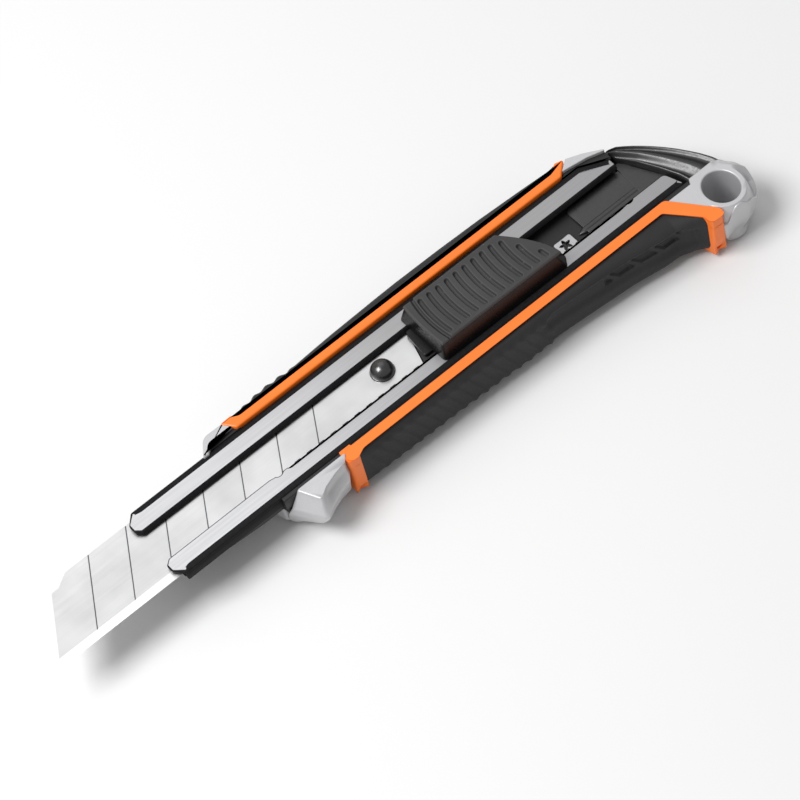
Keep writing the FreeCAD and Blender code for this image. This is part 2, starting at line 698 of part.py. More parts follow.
def make_blade_guide():
    """Folded sheet channel: floor, two walls and two inward lips, the lower one scalloped."""
    body = new_body("blade_guide")
    sketch = new_sketch(body, "YZ_Plane", "guide_front")
    inner_low = f"{GUIDE_LOW} + guide_wall"
    inner_up = f"{GUIDE_UP} - guide_wall"
    draw_outline(
        sketch,
        [
            (GUIDE_LOW, GUIDE_BOTTOM),
            (GUIDE_UP, GUIDE_BOTTOM),
            (GUIDE_UP, "guide_top"),
            ("lip_up", "guide_top"),
            ("lip_up", "guide_top - guide_wall"),
            (inner_up, "guide_top - guide_wall"),
            (inner_up, f"{GUIDE_BOTTOM} + guide_wall"),
            (inner_low, f"{GUIDE_BOTTOM} + guide_wall"),
            (inner_low, "guide_top - guide_wall"),
            ("lip_low", "guide_top - guide_wall"),
            ("lip_low", "guide_top"),
            (GUIDE_LOW, "guide_top"),
        ],
    )
    extrude(body, "Pad", sketch, "lip_low_end - guide_front")

    outer = (size(GUIDE_LOW), size(GUIDE_UP))
    round_edges(
        body,
        "guide_bend",
        lambda middle, edge: along_x(edge) and min(abs(middle.y - y) for y in outer) < 0.01,
    )
    floor_top = f"{GUIDE_BOTTOM} + guide_wall"
    # walls and floor start behind the lips' tips
    cut_slab(
        body,
        box_corners("guide_front - 1", "guide_front + wall_setback", f"{GUIDE_LOW} - 1", f"{GUIDE_UP} + 1"),
        f"{GUIDE_BOTTOM} - 1",
        floor_top,
    )
    for outside, inside, side in ((GUIDE_UP, "lip_up", 1), (GUIDE_LOW, "lip_low", -1)):
        shoulder = f"{outside} - {side} * guide_bend"
        cut_slab(
            body,
            [
                ("guide_front - 1", f"{outside} + {side}"),
                ("guide_front - 1", f"{shoulder} - {side} * lip_tip * 2"),
                ("guide_front", f"{shoulder} - {side} * lip_tip * 2"),
                ("guide_front + lip_tip", shoulder),
                ("guide_front + wall_setback", f"{outside} + {side}"),
            ],
            floor_top,
            "guide_top",
        )
        cut_slab(
            body,
            [
                ("guide_front - 1", f"{inside} - {side}"),
                ("guide_front - 1", f"{inside} + {side} * lip_tip_inner"),
                ("guide_front", f"{inside} + {side} * lip_tip_inner"),
                ("guide_front + lip_tip_inner", inside),
                ("guide_front + lip_tip_inner", f"{inside} - {side}"),
            ],
            "guide_top - guide_wall",
            "guide_top",
        )
    # the crest line behind the plain front stretch, then the scallops
    cut_slab(
        body,
        box_corners("scallop_first", "lip_low_end + 1", "scallop_crest", "lip_low + 1"),
        "guide_top - guide_wall",
        "guide_top",
    )
    scallop = drill(
        body,
        [("scallop_first", "scallop_bottom + scallop_radius")],
        "scallop_radius",
        "guide_top - guide_wall",
        "guide_top",
    )
    repeat(body, scallop, "scallop_count", "scallop_pitch")
    # upper side ends sooner than the lower one
    cut_slab(
        body,
        [
            ("lip_up_end - lip_up_cut", f"{GUIDE_UP} + 1"),
            ("lip_up_end - lip_up_cut", GUIDE_UP),
            ("lip_up_end", f"{GUIDE_UP} - lip_up_cut_depth"),
            ("lip_up_end", "lip_up - 1"),
            ("lip_low_end + 1", "lip_up - 1"),
            ("lip_low_end + 1", f"{GUIDE_UP} + 1"),
        ],
        f"{GUIDE_BOTTOM} - 1",
        "guide_top",
    )
    cut_slab(
        body,
        box_corners("window_front", "lip_low_end + 1", "-window_half", "window_half"),
        f"{GUIDE_BOTTOM} - 1",
        floor_top,
    )
    # rear end, slanting along the cap
    cut_slab(
        body,
        [
            ("cap_ridge_x - guide_end_gap", "cap_ridge_y"),
            ("step_front - guide_end_gap", "step_y"),
            ("step_front + 1", "step_y"),
            ("step_front + 1", "cap_ridge_y"),
        ],
        f"{GUIDE_BOTTOM} - 1",
        "guide_top",
    )
    hole = drill(
        body,
        [("guide_rivet_first", "0")],
        "guide_rivet_head",
        f"{GUIDE_BOTTOM} - 1",
        floor_top,
    )
    repeat(body, hole, "3", "guide_rivet_pitch")


def make_guide_rivets():
    """Flush rivets that hold the guide's floor down on the inner frame."""
    body = new_body("guide_rivets")
    head = f"{GUIDE_BOTTOM} + guide_wall"
    rivet = turn(
        body,
        [
            ("0", "frame_bottom"),
            ("guide_rivet_radius", "frame_bottom"),
            ("guide_rivet_radius", GUIDE_BOTTOM),
            ("guide_rivet_head", GUIDE_BOTTOM),
            ("guide_rivet_head", head),
            ("0", head),
        ],
        "guide_rivet_first",
    )
    repeat(body, rivet, "3", "guide_rivet_pitch")


FRAME_REAR = [
    ("step_front - cap_gap", "frame_low"),
    ("step_front - cap_gap", "step_y"),
    ("body_rear_up", "cap_ridge_y"),
    ("body_rear_up", "frame_taper_end"),
    ("frame_taper", "frame_up"),
]
UP_BARE = "trim_up_inner + frame_liner"
LOW_BARE = "trim_low_inner - frame_liner"
LOW_BARE_FRONT = "leg_front - leg_front_lean * frame_liner / (trim_low_inner - leg_out)"
LOW_BARE_REAR = (
    "leg_rear + (leg_rear_x - leg_rear) * frame_liner / (trim_low_inner - leg_rear_y)"
)
REAR_BARE = [
    ("hook_rear + hook_lean * frame_liner / (hook_out - trim_up_inner)", UP_BARE),
    ("hook_rear + 5", UP_BARE),
    ("body_rear_up", "body_rear_y"),
]


def make_inner_frame():
    """Black tray that the guide lies in, with a tapered nose under the guide's front."""
    body = new_body("inner_frame")
    slab(
        body,
        [("rail_front", "frame_low")] + FRAME_REAR + [("rail_front", "frame_up")],
        "frame_bottom",
        "frame_rail",
    )
    # the guide's bed
    cut_slab(
        body,
        [
            ("rail_front - 1", f"{GUIDE_LOW} - frame_gap"),
            ("step_front", f"{GUIDE_LOW} - frame_gap"),
            ("step_front", f"{GUIDE_UP} - lip_up_cut_depth + frame_gap"),
            ("lip_up_end + frame_gap", f"{GUIDE_UP} - lip_up_cut_depth + frame_gap"),
            ("lip_up_end - lip_up_cut + frame_gap", f"{GUIDE_UP} + frame_gap"),
            ("rail_front - 1", f"{GUIDE_UP} + frame_gap"),
        ],
        GUIDE_BOTTOM,
        "frame_rail",
    )
    # thin full-height walls where the bare corners of the body stand beside them
    for front, rear, low, up in (
        ("rail_front", "hook_front - 0.5", "trim_up_inner", UP_BARE),
        ("rail_front", "leg_front - 0.5", LOW_BARE, "trim_low_inner"),
        (LOW_BARE_REAR, "step_front - cap_gap", LOW_BARE, "trim_low_inner"),
    ):
        slab(body, box_corners(front, rear, low, up), "frame_rail", "guide_top")
    slab(
        body,
        [
            (REAR_BARE[0][0], f"{GUIDE_UP} + frame_gap"),
            ("lip_up_end - lip_up_cut + frame_gap", f"{GUIDE_UP} + frame_gap"),
            ("lip_up_end + frame_gap", f"{GUIDE_UP} - lip_up_cut_depth + frame_gap"),
            ("body_rear_up", f"{GUIDE_UP} - lip_up_cut_depth + frame_gap"),
            ("body_rear_up", "frame_taper_end"),
            ("hook_rear + 5", UP_BARE),
            REAR_BARE[0],
        ],
        "frame_rail",
        "guide_top - 0.2",
    )
    sketch = new_sketch(body, "XZ_Plane", "-guide_centre - nose_half")
    draw_outline(
        sketch,
        [
            ("nose_front", GUIDE_BOTTOM),
            ("nose_front", f"{GUIDE_BOTTOM} - 0.15"),
            ("rail_front", "frame_bottom"),
            ("rail_front + 1", "frame_bottom"),
            ("rail_front + 1", GUIDE_BOTTOM),
        ],
    )
    extrude(body, "Pad", sketch, "nose_half * 2")
    hole = drill(
        body,
        [("guide_rivet_first", "0")],
        "guide_rivet_radius",
        "frame_bottom - 0.1",
        GUIDE_BOTTOM,
    )
    repeat(body, hole, "3", "guide_rivet_pitch")
    drill(body, SCREW_SPOTS, "screw_radius", "frame_bottom - 0.1", "screw_reach")


# ---------------------------------------------------------------- housing

LOWER_TRIM = [
    ("leg_front - leg_front_lean", "leg_out"),
    ("leg_front", "trim_low_inner"),
    ("leg_rear", "trim_low_inner"),
    ("leg_rear_x", "leg_rear_y"),
    ("leg_rear_x - leg_rear_width", "leg_rear_y - 0.5"),
    ("leg_rear - 1.4", "trim_low_outer"),
    ("leg_front + leg_width", "trim_low_outer"),
    ("leg_front - leg_front_lean + leg_width", "leg_out"),
]
UPPER_TRIM = [
    ("hook_front", "trim_up_inner"),
    ("hook_rear", "trim_up_inner"),
    ("hook_rear + hook_lean", "hook_out"),
    ("hook_rear + hook_lean - 2.4", "hook_out + 0.6"),
    ("hook_rear - 0.8", "trim_up_outer"),
    ("hook_front + 2", "trim_up_outer"),
    ("hook_front + 0.8", "hook_out + 0.1"),
    ("hook_front - hook_lead", "hook_out"),
]


def shell_outline():
    """Plan of both shells: the bare front corner, the straight sides under the grips, the tail and the guard."""
    return [
        ("body_front", "trim_up_inner", "body_front + 0.5", "body_front_y - 1"),
        ("body_front + 2.2", "body_front_y"),
        UPPER_TRIM[7],
        UPPER_TRIM[6],
        UPPER_TRIM[5],
        UPPER_TRIM[4],
        UPPER_TRIM[3],
        UPPER_TRIM[2],
        ("body_rear_up", "body_rear_y"),
        ("body_rear_up", "cap_ridge_y"),
        ("step_front", "step_y"),
        ("step_rear", "step_y", "tail_end - 1.3", "step_y - 2.6"),
        ("tail_end", "tail_end_y", "tail_end - 2.2", "tail_bottom + 2.4"),
        ("tail_bottom_x + 1.5", "tail_bottom"),
        LOWER_TRIM[3],
        LOWER_TRIM[4],
        LOWER_TRIM[5],
        LOWER_TRIM[6],
        LOWER_TRIM[7],
        LOWER_TRIM[0],
        ("guard_back_x", "guard_back_y"),
        ("guard_tip_x + 1.2", "guard_tip_y + 0.2", "guard_tip_x", "guard_tip_y"),
        ("guard_tip_x - 1", "guard_tip_y + 0.6"),
        ("guard_start", "-nose_half + guide_centre"),
    ]


def make_front_shell():
    body = new_body("front_shell")
    slab(body, shell_outline(), "part_level", "frame_rail")
    # bare corners rise to the rim
    slab(
        body,
        [
            ("body_front", UP_BARE, "body_front + 0.6", "body_front_y - 0.9"),
            ("body_front + 2.2", "body_front_y"),
            UPPER_TRIM[7],
            ("hook_front - hook_lead * frame_liner / (hook_out - trim_up_inner)", UP_BARE),
        ],
        "frame_rail",
        "body_level",
    )
    slab(
        body,
        REAR_BARE + [UPPER_TRIM[2]],
        "frame_rail",
        "body_level",
    )
    slab(
        body,
        [
            ("guard_start", LOW_BARE),
            (LOW_BARE_FRONT, LOW_BARE),
            LOWER_TRIM[0],
            ("guard_back_x", "guard_back_y"),
            ("guard_tip_x + 1.2", "guard_tip_y + 0.2", "guard_tip_x", "guard_tip_y"),
            ("guard_tip_x - 1", "guard_tip_y + 0.6"),
        ],
        "frame_rail",
        "body_level",
    )
    slab(
        body,
        [
            (LOW_BARE_REAR, LOW_BARE),
            ("step_front", LOW_BARE),
            ("step_front", "step_y"),
            ("step_rear", "step_y", "tail_end - 1.3", "step_y - 2.6"),
            ("tail_end", "tail_end_y", "tail_end - 2.2", "tail_bottom + 2.4"),
            ("tail_bottom_x + 1.5", "tail_bottom"),
            LOWER_TRIM[3],
        ],
        "frame_rail",
        "body_level",
    )
    cut_slab(
        body,
        [
            ("guard_start - 10", "frame_low"),
            FRAME_REAR[0],
            FRAME_REAR[1],
            ("step_front + 1", "step_y"),
            ("step_front + 1", "frame_taper_end"),
            FRAME_REAR[3],
            FRAME_REAR[4],
            ("guard_start - 10", "frame_up"),
        ],
        "frame_bottom",
        "frame_rail",
    )
    drill(body, [("hole_x", "hole_y")], "hole_radius", "part_level - 0.1", "body_level")
    drill(body, SCREW_SPOTS, "screw_radius", "part_level - 0.1", "frame_bottom")


def make_back_shell():
    body = new_body("back_shell")
    slab(body, shell_outline(), "back_level", "part_level")
    cut_slab(
        body,
        box_corners("bay_front", "bay_rear", "bay_low", "bay_up"),
        "back_level + shell_wall",
        "part_level",
    )
    post(body, SCREW_SPOTS, "boss_radius", "back_level + shell_wall - 0.5", "part_level")
    drill(body, SCREW_SPOTS, "screw_radius", "back_level - 0.1", "part_level")
    drill(body, SCREW_SPOTS, "screw_head", "back_level - 0.1", "back_level + screw_sink + screw_head_high")
    drill(body, [("hole_x", "hole_y")], "hole_radius", "back_level - 0.1", "part_level")


def make_body_screws():
    body = new_body("body_screws")
    head = "back_level + screw_sink"
    post(body, SCREW_SPOTS, "screw_head", head, f"{head} + screw_head_high")
    post(body, SCREW_SPOTS, "screw_radius", f"{head} + screw_head_high", "screw_reach")


def make_trims():
    upper = new_body("upper_trim")
    slab(upper, UPPER_TRIM, "frame_rail", "rim_level")
    lower = new_body("lower_trim")
    slab(lower, LOWER_TRIM, "frame_rail", "rim_level")


def make_grips():
    """Soft grips: they cover both shells' sides from the trims outwards."""
    upper = new_body("upper_grip")
    slab(
        upper,
        [
            UPPER_TRIM[6],
            UPPER_TRIM[5],
            UPPER_TRIM[4],
            UPPER_TRIM[3],
            ("hook_rear - 2", "grip_up_rear", "0", "grip_up_mid"),
            ("hook_front + 2", "grip_up_front"),
        ],
        "grip_low_z",
        "grip_high_z",
    )
    lower = new_body("lower_grip")
    slab(
        lower,
        [
            LOWER_TRIM[7],
            ("grip_mid_x", "grip_mid_y"),
            ("grip_bow_x", "grip_bow_y"),
            LOWER_TRIM[4],
            LOWER_TRIM[5],
            LOWER_TRIM[6],
        ],
        "grip_low_z",
        "grip_high_z",
    )


def make_back_pad():
    """Soft pad under the back shell. Its flat face is what the knife rests on."""
    body = new_body("back_pad")
    inset = "backpad_corner"
    slab(
        body,
        [
            (f"backpad_front + {inset}", "-backpad_half"),
            (f"backpad_rear - {inset}", "-backpad_half"),
            ("backpad_rear", f"-backpad_half + {inset}"),
            ("backpad_rear", f"backpad_half - {inset}"),
            (f"backpad_rear - {inset}", "backpad_half"),
            (f"backpad_front + {inset}", "backpad_half"),
            ("backpad_front", f"backpad_half - {inset}"),
            ("backpad_front", f"-backpad_half + {inset}"),
        ],
        "0",
        "back_level",
    )
    drill(body, SCREW_SPOTS, "screw_head + 0.2", "-0.1", "back_level")


# ---------------------------------------------------------------- end cap

def make_end_cap():
    """Rear corner of the handle. It pulls off backwards on its tongue to let the blade carriage out."""
    body = new_body("end_cap")
    slab(
        body,
        [
            ("body_rear_up + cap_gap", "body_rear_y", "cap_bow_x", "cap_bow_y"),
            ("step_rear", "step_y + cap_gap"),
            ("step_front + cap_gap", "step_y + cap_gap"),
            ("cap_ridge_x + cap_gap", "cap_ridge_y"),
        ],
        "back_level",
        "cap_top",
    )
    slab(
        body,
        [
            ("tongue_front", "tongue_low"),
            ("step_front - 2", "tongue_low"),
            ("cap_ridge_x + 2", "tongue_up"),
            ("tongue_front", "tongue_up"),
        ],
        f"{GUIDE_BOTTOM} + frame_gap",
        "tongue_top",
    )


def make_cap_spring():
    """Bent steel clip on the tongue's nose: it grips the edges of the guide's window."""
    body = new_body("cap_spring")
    slab(
        body,
        [
            ("clip_front", "clip_low"),
            ("tongue_front", "clip_low"),
            ("tongue_front", "clip_up"),
            ("clip_front", "clip_up"),
        ],
        f"{GUIDE_BOTTOM} + frame_gap",
        "tongue_top",
    )
    cut_slab(
        body,
        box_corners(
            "clip_front + clip_wall * 2",
            "tongue_front - clip_wall * 2",
            "clip_low + clip_wall",
            "clip_up + 1",
        ),
        f"{GUIDE_BOTTOM}",
        "tongue_top",
    )


# ---------------------------------------------------------------- make, test, write

for make in (
    make_blade,
    make_blade_carrier,
    make_blade_stud,
    make_slider_button,
    make_slider_pad,
    make_lock_spring,
    make_spring_rivet,
    make_blade_guide,
    make_guide_rivets,
    make_inner_frame,
    make_front_shell,
    make_back_shell,
    make_body_screws,
    make_trims,
    make_grips,
    make_back_pad,
    make_end_cap,
    make_cap_spring,
):
    make()
DOC.recompute()

for thing in DOC.Objects:
    if {"Invalid", "Error"} & set(thing.State):
        raise ValueError(f"{thing.Name} failed: {thing.State}")
for piece in PIECES:
    if piece.Shape.isNull() or not piece.Shape.isValid() or not piece.Shape.Solids:
        raise ValueError(f"{piece.Label} has no valid solid")

os.makedirs("parts", exist_ok=True)
for piece in PIECES:
    piece.Shape.exportStep(f"parts/{piece.Label}.step")
    box = piece.Shape.BoundBox
    print(
        f"{piece.Label}: {len(piece.Shape.Solids)} solid, {piece.Shape.Volume:.1f} mm3, "
        f"x {box.XMin:.2f} to {box.XMax:.2f}, y {box.YMin:.2f} to {box.YMax:.2f}, z {box.ZMin:.2f} to {box.ZMax:.2f}"
    )
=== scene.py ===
"""The looks of an 18 mm snap-off utility knife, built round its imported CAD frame.

Lengths in the shapes are millimetres in the frame's own axes: +X runs from the blade's point to the
tail, +Y to the blade's spine, +Z up from the face that the knife lies on. MM turns them to metres.
"""

import json

import bpy
import numpy as np
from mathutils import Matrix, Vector


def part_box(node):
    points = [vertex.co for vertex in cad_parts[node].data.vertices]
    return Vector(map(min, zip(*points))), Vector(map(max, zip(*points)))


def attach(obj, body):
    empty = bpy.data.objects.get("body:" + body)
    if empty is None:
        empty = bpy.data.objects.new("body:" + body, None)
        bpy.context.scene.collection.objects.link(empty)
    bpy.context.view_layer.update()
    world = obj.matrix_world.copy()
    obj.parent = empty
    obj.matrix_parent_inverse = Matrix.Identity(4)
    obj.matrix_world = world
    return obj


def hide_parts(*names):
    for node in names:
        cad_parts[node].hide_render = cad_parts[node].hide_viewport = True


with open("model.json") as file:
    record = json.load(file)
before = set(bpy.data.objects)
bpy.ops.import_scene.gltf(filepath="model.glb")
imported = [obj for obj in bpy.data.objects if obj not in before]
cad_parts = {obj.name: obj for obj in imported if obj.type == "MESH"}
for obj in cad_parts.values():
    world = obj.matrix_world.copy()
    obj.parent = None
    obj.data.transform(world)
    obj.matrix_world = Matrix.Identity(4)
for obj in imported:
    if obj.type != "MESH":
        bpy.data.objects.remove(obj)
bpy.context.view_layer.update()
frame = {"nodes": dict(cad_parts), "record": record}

bl_info = {
    "name": "Snap-off utility knife",
    "version": (1, 0, 0),
    "blender": (4, 5, 0),
    "location": "3D View > Sidebar > Knife",
    "description": "Adds the finished pieces of a snap-off utility knife round its frame",
    "category": "Add Mesh",
}

MM = 0.001
HOUSING_TOP = 14.0
SHEET = 0.8  # the blade guide's thickness


def edges(node):
    """Lowest and highest corner of a frame node, in millimetres."""
    low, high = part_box(node)
    return np.array(low) / MM, np.array(high) / MM


GUIDE_LOW, GUIDE_HIGH = edges("blade_guide")
BLADE_LOW, BLADE_HIGH = edges("blade")
STUD_LOW, STUD_HIGH = edges("blade_stud")
BUTTON_LOW, BUTTON_HIGH = edges("slider_button")
PAD_LOW, PAD_HIGH = edges("slider_pad")
SHELL_LOW = edges("front_shell")[0]
BACK_LOW = edges("back_shell")[0]
UPPER_TRIM_LOW, UPPER_TRIM_HIGH = edges("upper_trim")
UPPER_GRIP_LOW, UPPER_GRIP_HIGH = edges("upper_grip")
LOWER_GRIP_LOW, LOWER_GRIP_HIGH = edges("lower_grip")
FRAME_LOW = edges("inner_frame")[0]
CAP_LOW, CAP_HIGH = edges("end_cap")
REST_PAD_LOW, REST_PAD_HIGH = edges("back_pad")
SCREWS_LOW, SCREWS_HIGH = edges("body_screws")
EYE = np.array(next(m for m in frame["record"]["mounts"] if m["name"] == "lanyard_hole")["pos_m"]) / MM


# ---------------------------------------------------------------- colour and settings


def linear(code):
    """An sRGB hex colour as linear red, green and blue."""
    parts = np.array([int(code[i : i + 2], 16) for i in (1, 3, 5)]) / 255
    return tuple(np.where(parts <= 0.04045, parts / 12.92, ((parts + 0.055) / 1.055) ** 2.4))


def colour_setting(name, description, code):
    return bpy.props.FloatVectorProperty(
        name=name, description=description, subtype="COLOR", size=3, min=0, max=1, default=linear(code)
    )


def length_setting(name, description, millimetres):
    return bpy.props.FloatProperty(
        name=name, description=description, unit="LENGTH", precision=5, min=0, default=millimetres * MM
    )


class KnifeSizes(bpy.types.PropertyGroup):
    """Sizes of the details that the frame leaves to the finished pieces."""

    scallop_pitch: length_setting("Scallop pitch", "Distance between the locking scallops", 3.28)
    scallop_radius: length_setting("Scallop radius", "Radius of a scallop's hollow", 1.15)
    edge_round: length_setting("Guide edge", "Rounding of the guide's punched edges", 0.3)
    thumb_rib_pitch: length_setting("Thumb rib pitch", "Distance between the slider's grooves", 2.475)
    thumb_groove_width: length_setting("Thumb groove width", "Width of one of the slider's grooves", 1.35)
    thumb_groove_depth: length_setting("Thumb groove depth", "Depth of one of the slider's grooves", 0.75)
    finger_rib_pitch: length_setting("Finger rib pitch", "Distance between the lower grip's ribs", 3.0)
    finger_rib_height: length_setting("Finger rib height", "How far the lower grip's ribs stand out", 0.4)


class KnifeColours(bpy.types.PropertyGroup):
    """Colours of the knife's finishes."""

    blade: colour_setting("Blade", "Ground carbon steel", "#dededf")
    guide: colour_setting("Guide", "Satin steel of the guide's lips", "#d8d8da")
    black: colour_setting("Black plastic", "Glass-filled nylon of the frame and the cap", "#1c1c1d")
    gloss: colour_setting("Gloss black", "Polished ABS of the slider's sides", "#0d0d0e")
    pad: colour_setting("Thumb pad", "Rubber of the slider's pad", "#3c3c3d")
    silver: colour_setting("Silver", "Silver lacquer on the ABS housing", "#c4c4c6")
    trim: colour_setting("Trim", "Orange ABS of the two bands", "#ff7a1c")
    grip: colour_setting("Grip", "Black thermoplastic rubber", "#2a2a2b")


# ---------------------------------------------------------------- shapes


def rounded(corners, spacing=0.6, arc_steps=6):
    """Closed outline through corners (x, y, radius), counterclockwise.

    Each corner is replaced by the arc of its radius that touches both its runs, cut into arc_steps,
    and each straight run between arcs is cut into equal parts about spacing long.
    """
    spots = np.array([corner[:2] for corner in corners], float)
    radii = np.array([corner[2] for corner in corners], float)
    before = spots - np.roll(spots, 1, axis=0)
    before /= np.linalg.norm(before, axis=1)[:, None]
    after = np.roll(before, -1, axis=0)
    turn = np.arctan2(before[:, 0] * after[:, 1] - before[:, 1] * after[:, 0], (before * after).sum(axis=1))
    reach = radii * np.tan(np.abs(turn) / 2)
    start = spots - before * reach[:, None]
    inward = np.column_stack([-before[:, 1], before[:, 0]]) * np.sign(turn)[:, None]
    centre = start + inward * radii[:, None]
    swing = turn[:, None] * np.linspace(0, 1, arc_steps + 1)
    spoke = -inward * radii[:, None]
    arc_x = centre[:, :1] + spoke[:, :1] * np.cos(swing) - spoke[:, 1:] * np.sin(swing)
    arc_y = centre[:, 1:] + spoke[:, :1] * np.sin(swing) + spoke[:, 1:] * np.cos(swing)
    arcs = np.stack([arc_x, arc_y], axis=-1)
    parts = []
    for arc, following in zip(arcs, np.roll(arcs, -1, axis=0)):
        count = max(1, int(np.linalg.norm(following[0] - arc[-1]) / spacing))
        run = arc[-1] + (following[0] - arc[-1]) * np.linspace(0, 1, count + 1)[1:-1, None]
        parts += [arc, run]
    return np.concatenate(parts)


def outward(outline):
    """Unit normals of a counterclockwise outline, from the chord between each point's neighbours."""
    chord = np.roll(outline, -1, axis=0) - np.roll(outline, 1, axis=0)
    normal = np.column_stack([chord[:, 1], -chord[:, 0]])
    return normal / np.maximum(np.linalg.norm(normal, axis=1), 1e-9)[:, None]


def edge_profile(low, high, low_edge, high_edge, steps=4):
    """Profile of (inset, height) pairs up a wall whose edges are quarter ellipses.

    low_edge and high_edge are (inset, height) of each ellipse. A last short flat step at each end keeps
    the flat face's shading true.
    """
    flat = 0.03
    turn = np.linspace(0, np.pi / 2, steps + 1)
    under = np.column_stack([low_edge[0] * (1 - np.sin(turn)), low + low_edge[1] * (1 - np.cos(turn))])
    over = np.column_stack([high_edge[0] * (1 - np.cos(turn)), high - high_edge[1] * (1 - np.sin(turn))])
    return np.concatenate([[[low_edge[0] + flat, low]], under, over, [[high_edge[0] + flat, high]]])


def rise(outline, profile, share=1.0):
    """Rings of an outline carried up a profile: each ring is the outline, moved in by the profile's inset
    times each point's share, at the profile's height."""
    inward = -outward(outline) * np.broadcast_to(share, len(outline))[:, None]
    flat = outline[None] + inward[None] * profile[:, 0, None, None]
    height = np.broadcast_to(profile[:, 1, None, None], flat.shape[:2] + (1,))
    return np.concatenate([flat, height], axis=-1)


def ring_faces(grid, loop=True):
    """Quads of a grid of vertex numbers, closed round its second axis if loop is true."""
    here, there = (grid, np.roll(grid, -1, axis=1)) if loop else (grid[:, :-1], grid[:, 1:])
    return np.stack([here[:-1], there[:-1], there[1:], here[1:]], axis=-1).reshape(-1, 4)


def skin(rings):
    """Closed solid through rings (levels, points, 3): quads between levels and a flat face at each end."""
    levels, count = rings.shape[:2]
    grid = np.arange(levels * count).reshape(levels, count)
    faces = ring_faces(grid).tolist() + [grid[0, ::-1].tolist(), grid[-1].tolist()]
    return rings.reshape(-1, 3), faces


def tube_skin(rings):
    """Closed solid through rings (levels, points, 3) whose last ring joins the first, as in a bush."""
    levels, count = rings.shape[:2]
    grid = np.arange(levels * count).reshape(levels, count)
    grid = np.concatenate([grid, grid[:1]])
    return rings.reshape(-1, 3), ring_faces(grid).tolist()


def blanket(surface, floor):
    """Closed solid under a surface grid (rows, columns, 3): the surface, a skirt down to floor and a base."""
    rows, columns = surface.shape[:2]
    grid = np.arange(rows * columns).reshape(rows, columns)
    loop = np.concatenate([grid[0, :-1], grid[:-1, -1], grid[-1, :0:-1], grid[:0:-1, 0]])
    points = surface.reshape(-1, 3)
    skirt = points[loop].copy()
    skirt[:, 2] = floor
    lower = rows * columns + np.arange(len(loop))
    walls = ring_faces(np.stack([lower, loop]))
    faces = ring_faces(grid, loop=False).tolist() + walls.tolist() + [lower[::-1].tolist()]
    return np.concatenate([points, skirt]), faces


def turned(centre, profile, count=48):
    """Rings of a round piece: a profile of (radius, height) pairs turned about an upright axis."""
    angle = np.linspace(0, 2 * np.pi, count, endpoint=False)
    wheel = np.column_stack([np.cos(angle), np.sin(angle)])
    flat = profile[:, 0, None, None] * wheel[None] + np.asarray(centre)[None, None, :2]
    height = np.broadcast_to(profile[:, 1, None, None], flat.shape[:2] + (1,))
    return np.concatenate([flat, height], axis=-1)


def slab(corners, low, high, edge=0.15, arc_steps=4):
    """Closed plate on a rounded outline, its edges rounded by edge."""
    profile = edge_profile(low, high, (edge, edge), (edge, edge), 3)
    return skin(rise(rounded(corners, arc_steps=arc_steps), profile))


def oblong(x_low, y_low, x_high, y_high, radius):
    """Corners of a rectangle in plan, all of one radius."""
    return [(x_low, y_low, radius), (x_high, y_low, radius), (x_high, y_high, radius), (x_low, y_high, radius)]


def swept(run, y, z):
    """Closed solid of sections across X: y and z are (stations, points), one row at each x of run."""
    return skin(np.stack(np.broadcast_arrays(run[:, None], y, z), axis=-1))


def polar(outline, centre, angle):
    """Distance of an outline from a centre inside it, at each angle."""
    ray = outline - centre
    spin, length = np.arctan2(ray[:, 1], ray[:, 0]), np.linalg.norm(ray, axis=1)
    return np.interp(angle, spin, length, period=2 * np.pi)


def lofted(keys, heights, arc_steps=6, spacing=0.6):
    """Rings between key outlines: keys is {height: corners}, all with as many corners, and the corners
    at each of heights are read off straight lines between the keys."""
    levels = np.array(sorted(keys))
    table = np.array([keys[level] for level in levels], float)
    flat = table.reshape(len(levels), -1)
    mixed = np.stack([np.interp(heights, levels, column) for column in flat.T], axis=-1)
    mixed = mixed.reshape(len(heights), -1, 3)
    guide = rounded(mixed[0], spacing, arc_steps)
    rings = []
    for height, corners in zip(heights, mixed):
        ring = resampled(rounded(corners, spacing, arc_steps), len(guide))
        rings.append(np.column_stack([ring, np.full(len(ring), height)]))
    return np.stack(rings)


def resampled(outline, count):
    """The same closed outline with count points, shared out evenly along its length."""
    closed = np.concatenate([outline, outline[:1]])
    along = np.concatenate([[0], np.cumsum(np.linalg.norm(np.diff(closed, axis=0), axis=1))])
    places = np.linspace(0, along[-1], count, endpoint=False)
    return np.column_stack([np.interp(places, along, closed[:, 0]), np.interp(places, along, closed[:, 1])])


def merged(*solids):
    """Several closed solids as one list of points and one of faces."""
    points, faces, count = [], [], 0
    for some_points, some_faces in solids:
        points.append(some_points)
        faces += [[corner + count for corner in face] for face in some_faces]
        count += len(some_points)
    return np.concatenate(points), faces


def smooth_step(value):
    """0 below 0, 1 above 1 and a smooth S between."""
    value = np.clip(value, 0, 1)
    return value * value * (3 - 2 * value)


def add_piece(name, solid, coats, body, replaced=(), sharp=32, coat_of=None):
    """Makes a mesh object of a solid, gives it its materials and hands it to the frame."""
    points, faces = solid
    mesh = bpy.data.meshes.new(name)
    mesh.from_pydata((points * MM).tolist(), [], faces)
    mesh.polygons.foreach_set("use_smooth", np.ones(len(faces), bool))
    mesh.set_sharp_from_angle(angle=np.radians(sharp))
    for coat in coats:
        mesh.materials.append(coat)
    if coat_of is not None:
        middles = np.array([points[face].mean(axis=0) for face in faces])
        mesh.polygons.foreach_set("material_index", coat_of(middles).astype(np.int32))
    mesh.validate()
    mesh.update()
    piece = bpy.data.objects.new(name, mesh)
    bpy.context.scene.collection.objects.link(piece)
    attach(piece, body)
    if replaced:
        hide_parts(*replaced)
    return piece


# ---------------------------------------------------------------- materials


